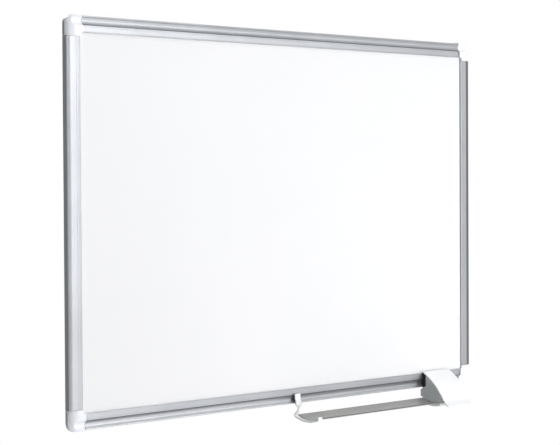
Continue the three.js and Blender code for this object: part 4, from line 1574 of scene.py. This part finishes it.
@dataclass
class Eraser:
    """The eraser that is parked on the tray: a curved shell with two cheeks and a felt."""

    tray: Tray
    top_out: float = 11.3
    top_height: float = 28.6
    toe_out: float = 59.7
    toe_drop: float = 19.8
    crown: float = 4.7
    lip_length: float = 12.5
    lip_slope: float = math.radians(42)
    top_corner: float = 2.5
    left_toe_corner: float = 2.5
    right_toe_corner: float = 8.0
    edge_radius: float = 0.8
    edge_share: float = 0.9
    end_round: float = 0.9
    end_shut: float = 0.6
    grip_width: float = 34.0
    grip_length: float = 19.0
    grip_fade: float = 2.5
    grip_depth: float = 0.35
    cheek_back: float = 5.8
    cheek_back_top: float = 2.4
    cheek_back_rise: float = 2.6
    cheek_front_edge: float = 17.6
    cheek_foot: float = 54.8
    cheek_edge: float = 0.35
    cheek_mark_half: float = 0.03
    felt_back: float = 20.0
    felt_front: float = 53.5
    felt_top: float = 4.0
    felt_edge: float = 0.5
    skin_crease: float = 50.0
    cheek_crease: float = 30.0
    shell_crease: float = 20.0
    skin_steps: int = 60
    lip_steps: int = 20
    outside_steps: int = 48
    inside_steps: int = 12
    corner_steps: int = 5
    cheek_steps: int = 40
    felt_floor_steps: int = 24
    felt_crown_steps: int = 16
    bow: Bow = field(init=False)

    def __post_init__(self) -> None:
        """Work out the shell's outer arc."""
        self.bow = Bow((-self.toe_out, UNDERSIDE - self.toe_drop),
                       (-self.top_out, UNDERSIDE + self.top_height), self.crown)

    def centre_line(self) -> list[Vector]:
        """Lay the skin's centre line, from its top down to the end of its lip.

        Returns:
            The points in order.
        """
        line = self.bow.points(self.bow.half, -self.bow.half, -ERASER_SKIN / 2, self.skin_steps)
        toe = line[-1]
        slope = Vector((-math.cos(self.lip_slope), -math.sin(self.lip_slope)))
        line += [toe + slope * math.sin((i + 1) / self.lip_steps * math.pi / 2) * self.lip_length
                 for i in range(self.lip_steps)]
        return line

    @staticmethod
    def corner_draw(radius: float, distance: float) -> float:
        """Return how far a rounded corner draws an edge in, at a distance from the end."""
        left = max(radius - distance, 0.0)
        return radius - math.sqrt(max(radius * radius - left * left, 0.0))

    def grip(self, x: float, travelled: float) -> float:
        """Give the depth of the shallow grip field near the shell's top.

        Args:
            x: Place along X.
            travelled: Distance from the skin's top, along the skin.

        Returns:
            The depth.
        """
        into = x - self.tray.eraser_left
        side = smooth_step((self.grip_width - into) / self.grip_fade)
        low = smooth_step((self.grip_length - travelled) / self.grip_fade)
        return self.grip_depth * side * low

    def skin_section(self, start: float, end: float, half: float, travelled: float) -> list[Point]:
        """Give the closed section of the skin at one place along its centre line.

        Args:
            start: Its left end on X.
            end: Its right end on X.
            half: Half its thickness.
            travelled: Distance from the skin's top, along the skin.

        Returns:
            The points, as X and height over the centre line.
        """
        radius = min(self.edge_radius, half * self.edge_share)
        turn = 90 // self.corner_steps
        section: list[Point] = []

        def corner(x: float, height: float, first: int, count: int) -> None:
            """Add the points of a round corner after its first one.

            Args:
                x: Its centre on X.
                height: Its centre over the centre line.
                first: Angle in degrees of its first point.
                count: Number of points to add.
            """
            for k in range(1, count + 1):
                angle = math.radians(first - turn * k)
                section.append((x + radius * math.cos(angle), height + radius * math.sin(angle)))

        for k in range(self.outside_steps + 1):
            x = start + radius + (end - start - 2 * radius) * k / self.outside_steps
            section.append((x, half - self.grip(x, travelled)))
        corner(end - radius, half - radius, 90, self.corner_steps)
        corner(end - radius, -half + radius, 0, self.corner_steps)
        for k in range(1, self.inside_steps + 1):
            x = end - radius + (start + 2 * radius - end) * k / self.inside_steps
            section.append((x, -half))
        corner(start + radius, -half + radius, 270, self.corner_steps)
        corner(start + radius, half - radius, 180, self.corner_steps - 1)
        return section

    def skin_rings(self) -> list[list[Place]]:
        """Lay closed rings across the skin, from its top to its lip's end.

        Returns:
            The rings in order.
        """
        line = self.centre_line()
        runs = along_runs(line)
        rings = []
        for i, (point, run) in enumerate(zip(line, runs)):
            across = way_across(line, i)
            if across.x > 0:
                across = -across
            left = runs[-1] - run
            top = self.corner_draw(self.top_corner, run)
            start = self.tray.eraser_left + max(top, self.corner_draw(self.left_toe_corner, left))
            end = self.tray.eraser_right - max(top, self.corner_draw(self.right_toe_corner, left))
            shut = (min(self.corner_draw(self.end_round, run), self.end_shut)
                    + min(self.corner_draw(self.end_round, left), self.end_shut))
            section = self.skin_section(start, end, ERASER_SKIN / 2 - shut, run)
            rings.append([(x, *(point + across * lift)) for x, lift in section])
        return rings

    def cheek_outline(self) -> list[Sequence[float]]:
        """Lay the outline of a cheek, the side wall that stands in the tray.

        Returns:
            The points, as Y and Z.
        """
        inset = ERASER_SKIN / 2
        gutter = self.tray.bow
        top = self.bow.angle_where(lambda p: p.x < -self.cheek_front_edge, -inset)
        foot = gutter.angle_where(lambda p: p.x > -self.cheek_foot, 0.0)
        slope = (self.cheek_front_edge - self.cheek_back) * math.tan(self.tray.lift_slope)
        return [*self.bow.points(top, -self.bow.half, -inset, self.cheek_steps),
                *gutter.points(foot, -gutter.half, 0.0, self.cheek_steps),
                (-self.cheek_back, UNDERSIDE - self.tray.gutter_drop + self.cheek_back_rise),
                (-self.cheek_back, UNDERSIDE - self.cheek_back_top),
                (-self.cheek_front_edge, UNDERSIDE - self.cheek_back_top + slope)]

    def shell(self) -> bpy.types.Object:
        """Build the shell: its skin and two cheeks in one moulding.

        Returns:
            The new object.
        """
        skin = Form()
        skin.loft(self.skin_rings())
        piece = skin.build("eraser_shell_moulding", self.skin_crease)
        thick = self.tray.cheek_thickness
        left = self.tray.eraser_left + self.tray.cheek_recess
        right = self.tray.eraser_right - self.tray.cheek_recess
        outline = self.cheek_outline()
        work = bmesh.new()
        work.from_mesh(piece.data)
        for ends in ((left, left + thick), (right - thick, right)):
            cheek = prism(outline, ends, "cheek", self.cheek_crease, self.cheek_edge)
            work.from_mesh(cheek.data)
            bpy.data.objects.remove(cheek)
        work.to_mesh(piece.data)
        work.free()
        piece.data.set_sharp_from_angle(angle=math.radians(self.shell_crease))
        return piece

    def felt(self) -> bpy.types.Object:
        """Build the felt block inside the shell.

        Returns:
            The new object.
        """
        tray, gutter = self.tray, self.tray.bow
        offset = tray.thickness / 2 + tray.bead + FIT_GAP - tray.felt_gap
        inset = ERASER_SKIN + tray.felt_gap
        front = gutter.angle_where(lambda p: p.x > -self.felt_front, offset)
        back = gutter.angle_where(lambda p: p.x > -self.felt_back, offset)
        low = self.bow.angle_where(lambda p: p.x < -self.felt_front, -inset)
        high = self.bow.angle_where(lambda p: p.y < UNDERSIDE - self.felt_top, -inset)
        outline = [*gutter.points(back, front, offset, self.felt_floor_steps),
                   *self.bow.points(low, high, -inset, self.felt_crown_steps),
                   (-self.felt_back, UNDERSIDE - self.felt_top)]
        return prism(outline, (tray.inside_left, tray.inside_right), "eraser_felt_block",
                     edge=self.felt_edge)

    def build(self) -> None:
        """Build and dress the eraser."""
        recess = self.tray.cheek_recess
        # The outer face of each cheek is drawn a light grey, darker than the shell's white.
        cheeks = tuple(Line(Axis.X, x, self.cheek_mark_half, shade(212, 216, 218), metallic=0.0)
                       for x in (self.tray.eraser_left + recess,
                                 self.tray.eraser_right - recess))
        white = Moulded("eraser_plastic", shade(250, 251, 254), shade(253, 254, 255),
                        smoothest=0.4, roughest=0.5, marks=cheeks).make()
        black = Grained("eraser_felt_pile", shade(20, 20, 22), shade(44, 44, 48),
                        grains_per_metre=2200.0, depth=0.00012, sheen=0.3).make()
        finish_piece(self.shell(), white, Body.ERASER, Slot.WHITE, "eraser_shell")
        finish_piece(self.felt(), black, Body.ERASER, Slot.FELT, "eraser_felt")


@dataclass(frozen=True)
class PanelAndFixings:
    """The panel, keys and screws, whose solids stay and get their finishes."""

    lacquer: Lacquer = Lacquer()
    fibre: Grained = Grained("pressed_fibre", shade(168, 146, 116), shade(196, 176, 146),
                             grains_per_metre=700.0, depth=0.0001)
    foil: Plated = Plated("backing_foil_metal", shade(174, 177, 180), shade(184, 187, 190),
                          spangles_per_metre=140.0, metallic=0.7)
    key: Plated = Plated("key_steel", shade(148, 151, 154), shade(184, 187, 190))
    screw: Plated = Plated("screw_steel", shade(160, 160, 158), shade(196, 196, 194),
                           spangles_per_metre=500.0)

    def dress(self) -> None:
        """Give each solid that stays its material."""
        finishes = {
            "writing_sheet": self.lacquer.make(),
            "core_board": self.fibre.make(),
            "backing_foil": self.foil.make(),
        }
        key, screw = self.key.make(), self.screw.make()
        for level in Level:
            for side in Side:
                corner = f"{level.label}_{side.label}"
                finishes[f"{corner}_corner_key"] = key
                finishes[f"{corner}_rail_screw"] = screw
                finishes[f"{corner}_side_screw"] = screw
        for node, material in finishes.items():
            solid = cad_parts[node]
            solid.data.materials.clear()
            solid.data.materials.append(material)
            log.info("%s: dressed", node)


@dataclass(frozen=True)
class Camera:
    """The camera at the photograph's place, with its focal length in the image's pixels."""

    place: Place = (-2.0811, -2.0782, 0.0628)
    azimuth: float = math.radians(44.85)
    elevation: float = math.radians(-1.37)
    roll: float = math.radians(-0.307)
    focal_pixels: float = 1835.0
    image_width: float = 560.0
    sensor_width: float = 36.0
    nearest: float = 0.05
    farthest: float = 60.0

    def build(self) -> None:
        """Put the camera into the scene."""
        a, e, r = self.azimuth, self.elevation, self.roll
        ahead = Vector((math.sin(a) * math.cos(e), math.cos(a) * math.cos(e), math.sin(e)))
        right = Vector((math.cos(a), -math.sin(a), 0))
        up = right.cross(ahead)
        across = right * math.cos(r) + up * math.sin(r)
        upright = up * math.cos(r) - right * math.sin(r)
        data = bpy.data.cameras.new("camera")
        data.lens = self.focal_pixels / self.image_width * self.sensor_width
        data.sensor_width = self.sensor_width
        data.sensor_fit = "HORIZONTAL"
        data.clip_start = self.nearest
        data.clip_end = self.farthest
        camera = bpy.data.objects.new("camera", data)
        turn = Matrix((across, upright, -ahead)).transposed()
        camera.matrix_world = Matrix.Translation(self.place) @ turn.to_4x4()
        bpy.context.scene.collection.objects.link(camera)
        bpy.context.scene.camera = camera


@dataclass(frozen=True)
class Lamp:
    """A soft lamp that points at the board: its place and size in metres, its power in watts."""

    name: str
    place: Place
    power: float
    width: float
    height: float

    def build(self) -> None:
        """Put the lamp into the scene."""
        data = bpy.data.lights.new(self.name, "AREA")
        data.shape = "RECTANGLE"
        data.energy = self.power
        data.size = self.width
        data.size_y = self.height
        lamp = bpy.data.objects.new(self.name, data)
        lamp.location = self.place
        way = -Vector(self.place)
        lamp.rotation_euler = way.to_track_quat("-Z", "Y").to_euler()
        lamp.visible_camera = False
        bpy.context.scene.collection.objects.link(lamp)


@dataclass(frozen=True)
class Studio:
    """Plain soft light, a white surround and a pale floor."""

    ambient: float = 0.03
    floor_height: float = -1300.0
    floor_radius: float = 1600.0
    floor_steps: int = 64
    floor_clouds_per_metre: float = 2.0
    floor_roughness: float = 0.9
    lamps: tuple[Lamp, ...] = (
        Lamp("softbox", (4.1, -7.0, 1.3), power=302.0, width=2.4, height=4.5),
        Lamp("fill_softbox", (-2.3, -7.1, 1.6), power=116.0, width=2.0, height=3.0),
        Lamp("low_softbox", (2.7, -5.3, -3.6), power=165.0, width=2.4, height=2.4),
        Lamp("top_softbox", (0.2, -0.9, 3.4), power=26.0, width=1.6, height=1.6),
        Lamp("back_softbox", (0.0, 3.2, 3.4), power=190.0, width=2.0, height=2.0),
        Lamp("under_softbox", (0.5, -1.1, -1.15), power=4.0, width=1.2, height=0.9),
        Lamp("high_softbox", (2.6, -4.6, 5.6), power=90.0, width=2.4, height=2.4),
    )

    @staticmethod
    def shown(tree: bpy.types.NodeTree) -> bpy.types.NodeSocket:
        """Add a value that is 1 for what the lens, gloss and glass see, and 0 otherwise.

        Args:
            tree: The nodes that it is added to.

        Returns:
            The socket of the value.
        """
        path = tree.nodes.new("ShaderNodeLightPath")
        total = path.outputs["Is Camera Ray"]
        for name in ("Is Glossy Ray", "Is Transmission Ray"):
            step = tree.nodes.new("ShaderNodeMath")
            step.operation = "MAXIMUM"
            tree.links.new(total, step.inputs[0])
            tree.links.new(path.outputs[name], step.inputs[1])
            total = step.outputs[0]
        return total

    def surround(self) -> None:
        """Set the white surround, dimmer for the light that it gives."""
        world = bpy.data.worlds.new("surround")
        world.use_nodes = True
        tree = world.node_tree
        background = tree.nodes["Background"]
        background.inputs["Color"].default_value = (1.0, 1.0, 1.0, 1.0)
        spread = tree.nodes.new("ShaderNodeMapRange")
        spread.inputs["To Min"].default_value = self.ambient
        spread.inputs["To Max"].default_value = 1.0
        tree.links.new(self.shown(tree), spread.inputs["Value"])
        tree.links.new(spread.outputs["Result"], background.inputs["Strength"])
        bpy.context.scene.world = world

    def floor(self) -> None:
        """Lay a pale round floor below the board."""
        turns = [2 * math.pi * i / self.floor_steps for i in range(self.floor_steps)]
        form = Form()
        form.faces.append(form.ring((self.floor_radius * math.cos(turn),
                                     self.floor_radius * math.sin(turn),
                                     self.floor_height) for turn in turns))
        piece = form.build("floor")
        sheet = Sheet("floor_paper")
        sheet.tint(sheet.noise(sheet.place(), self.floor_clouds_per_metre),
                   shade(238, 238, 238), shade(242, 242, 242))
        sheet.fixed(Roughness=self.floor_roughness)
        piece.data.materials.append(sheet.material)

    def build(self) -> None:
        """Set up the surround, the floor and the lamps."""
        self.surround()
        self.floor()
        for lamp in self.lamps:
            lamp.build()


def main() -> None:
    """Build the camera, the pieces in order, and then the light."""
    logging.basicConfig(level=logging.INFO, format="%(message)s")
    bpy.context.scene.view_settings.view_transform = "Standard"
    Camera().build()
    channel = Channel()
    Rails(channel).build()
    CornerCaps(channel).build()
    tray = Tray(channel)
    eraser = Eraser(tray)
    tray.build(eraser.bow)
    eraser.build()
    PanelAndFixings().dress()
    Studio().build()


if __name__ == "__main__":
    main()
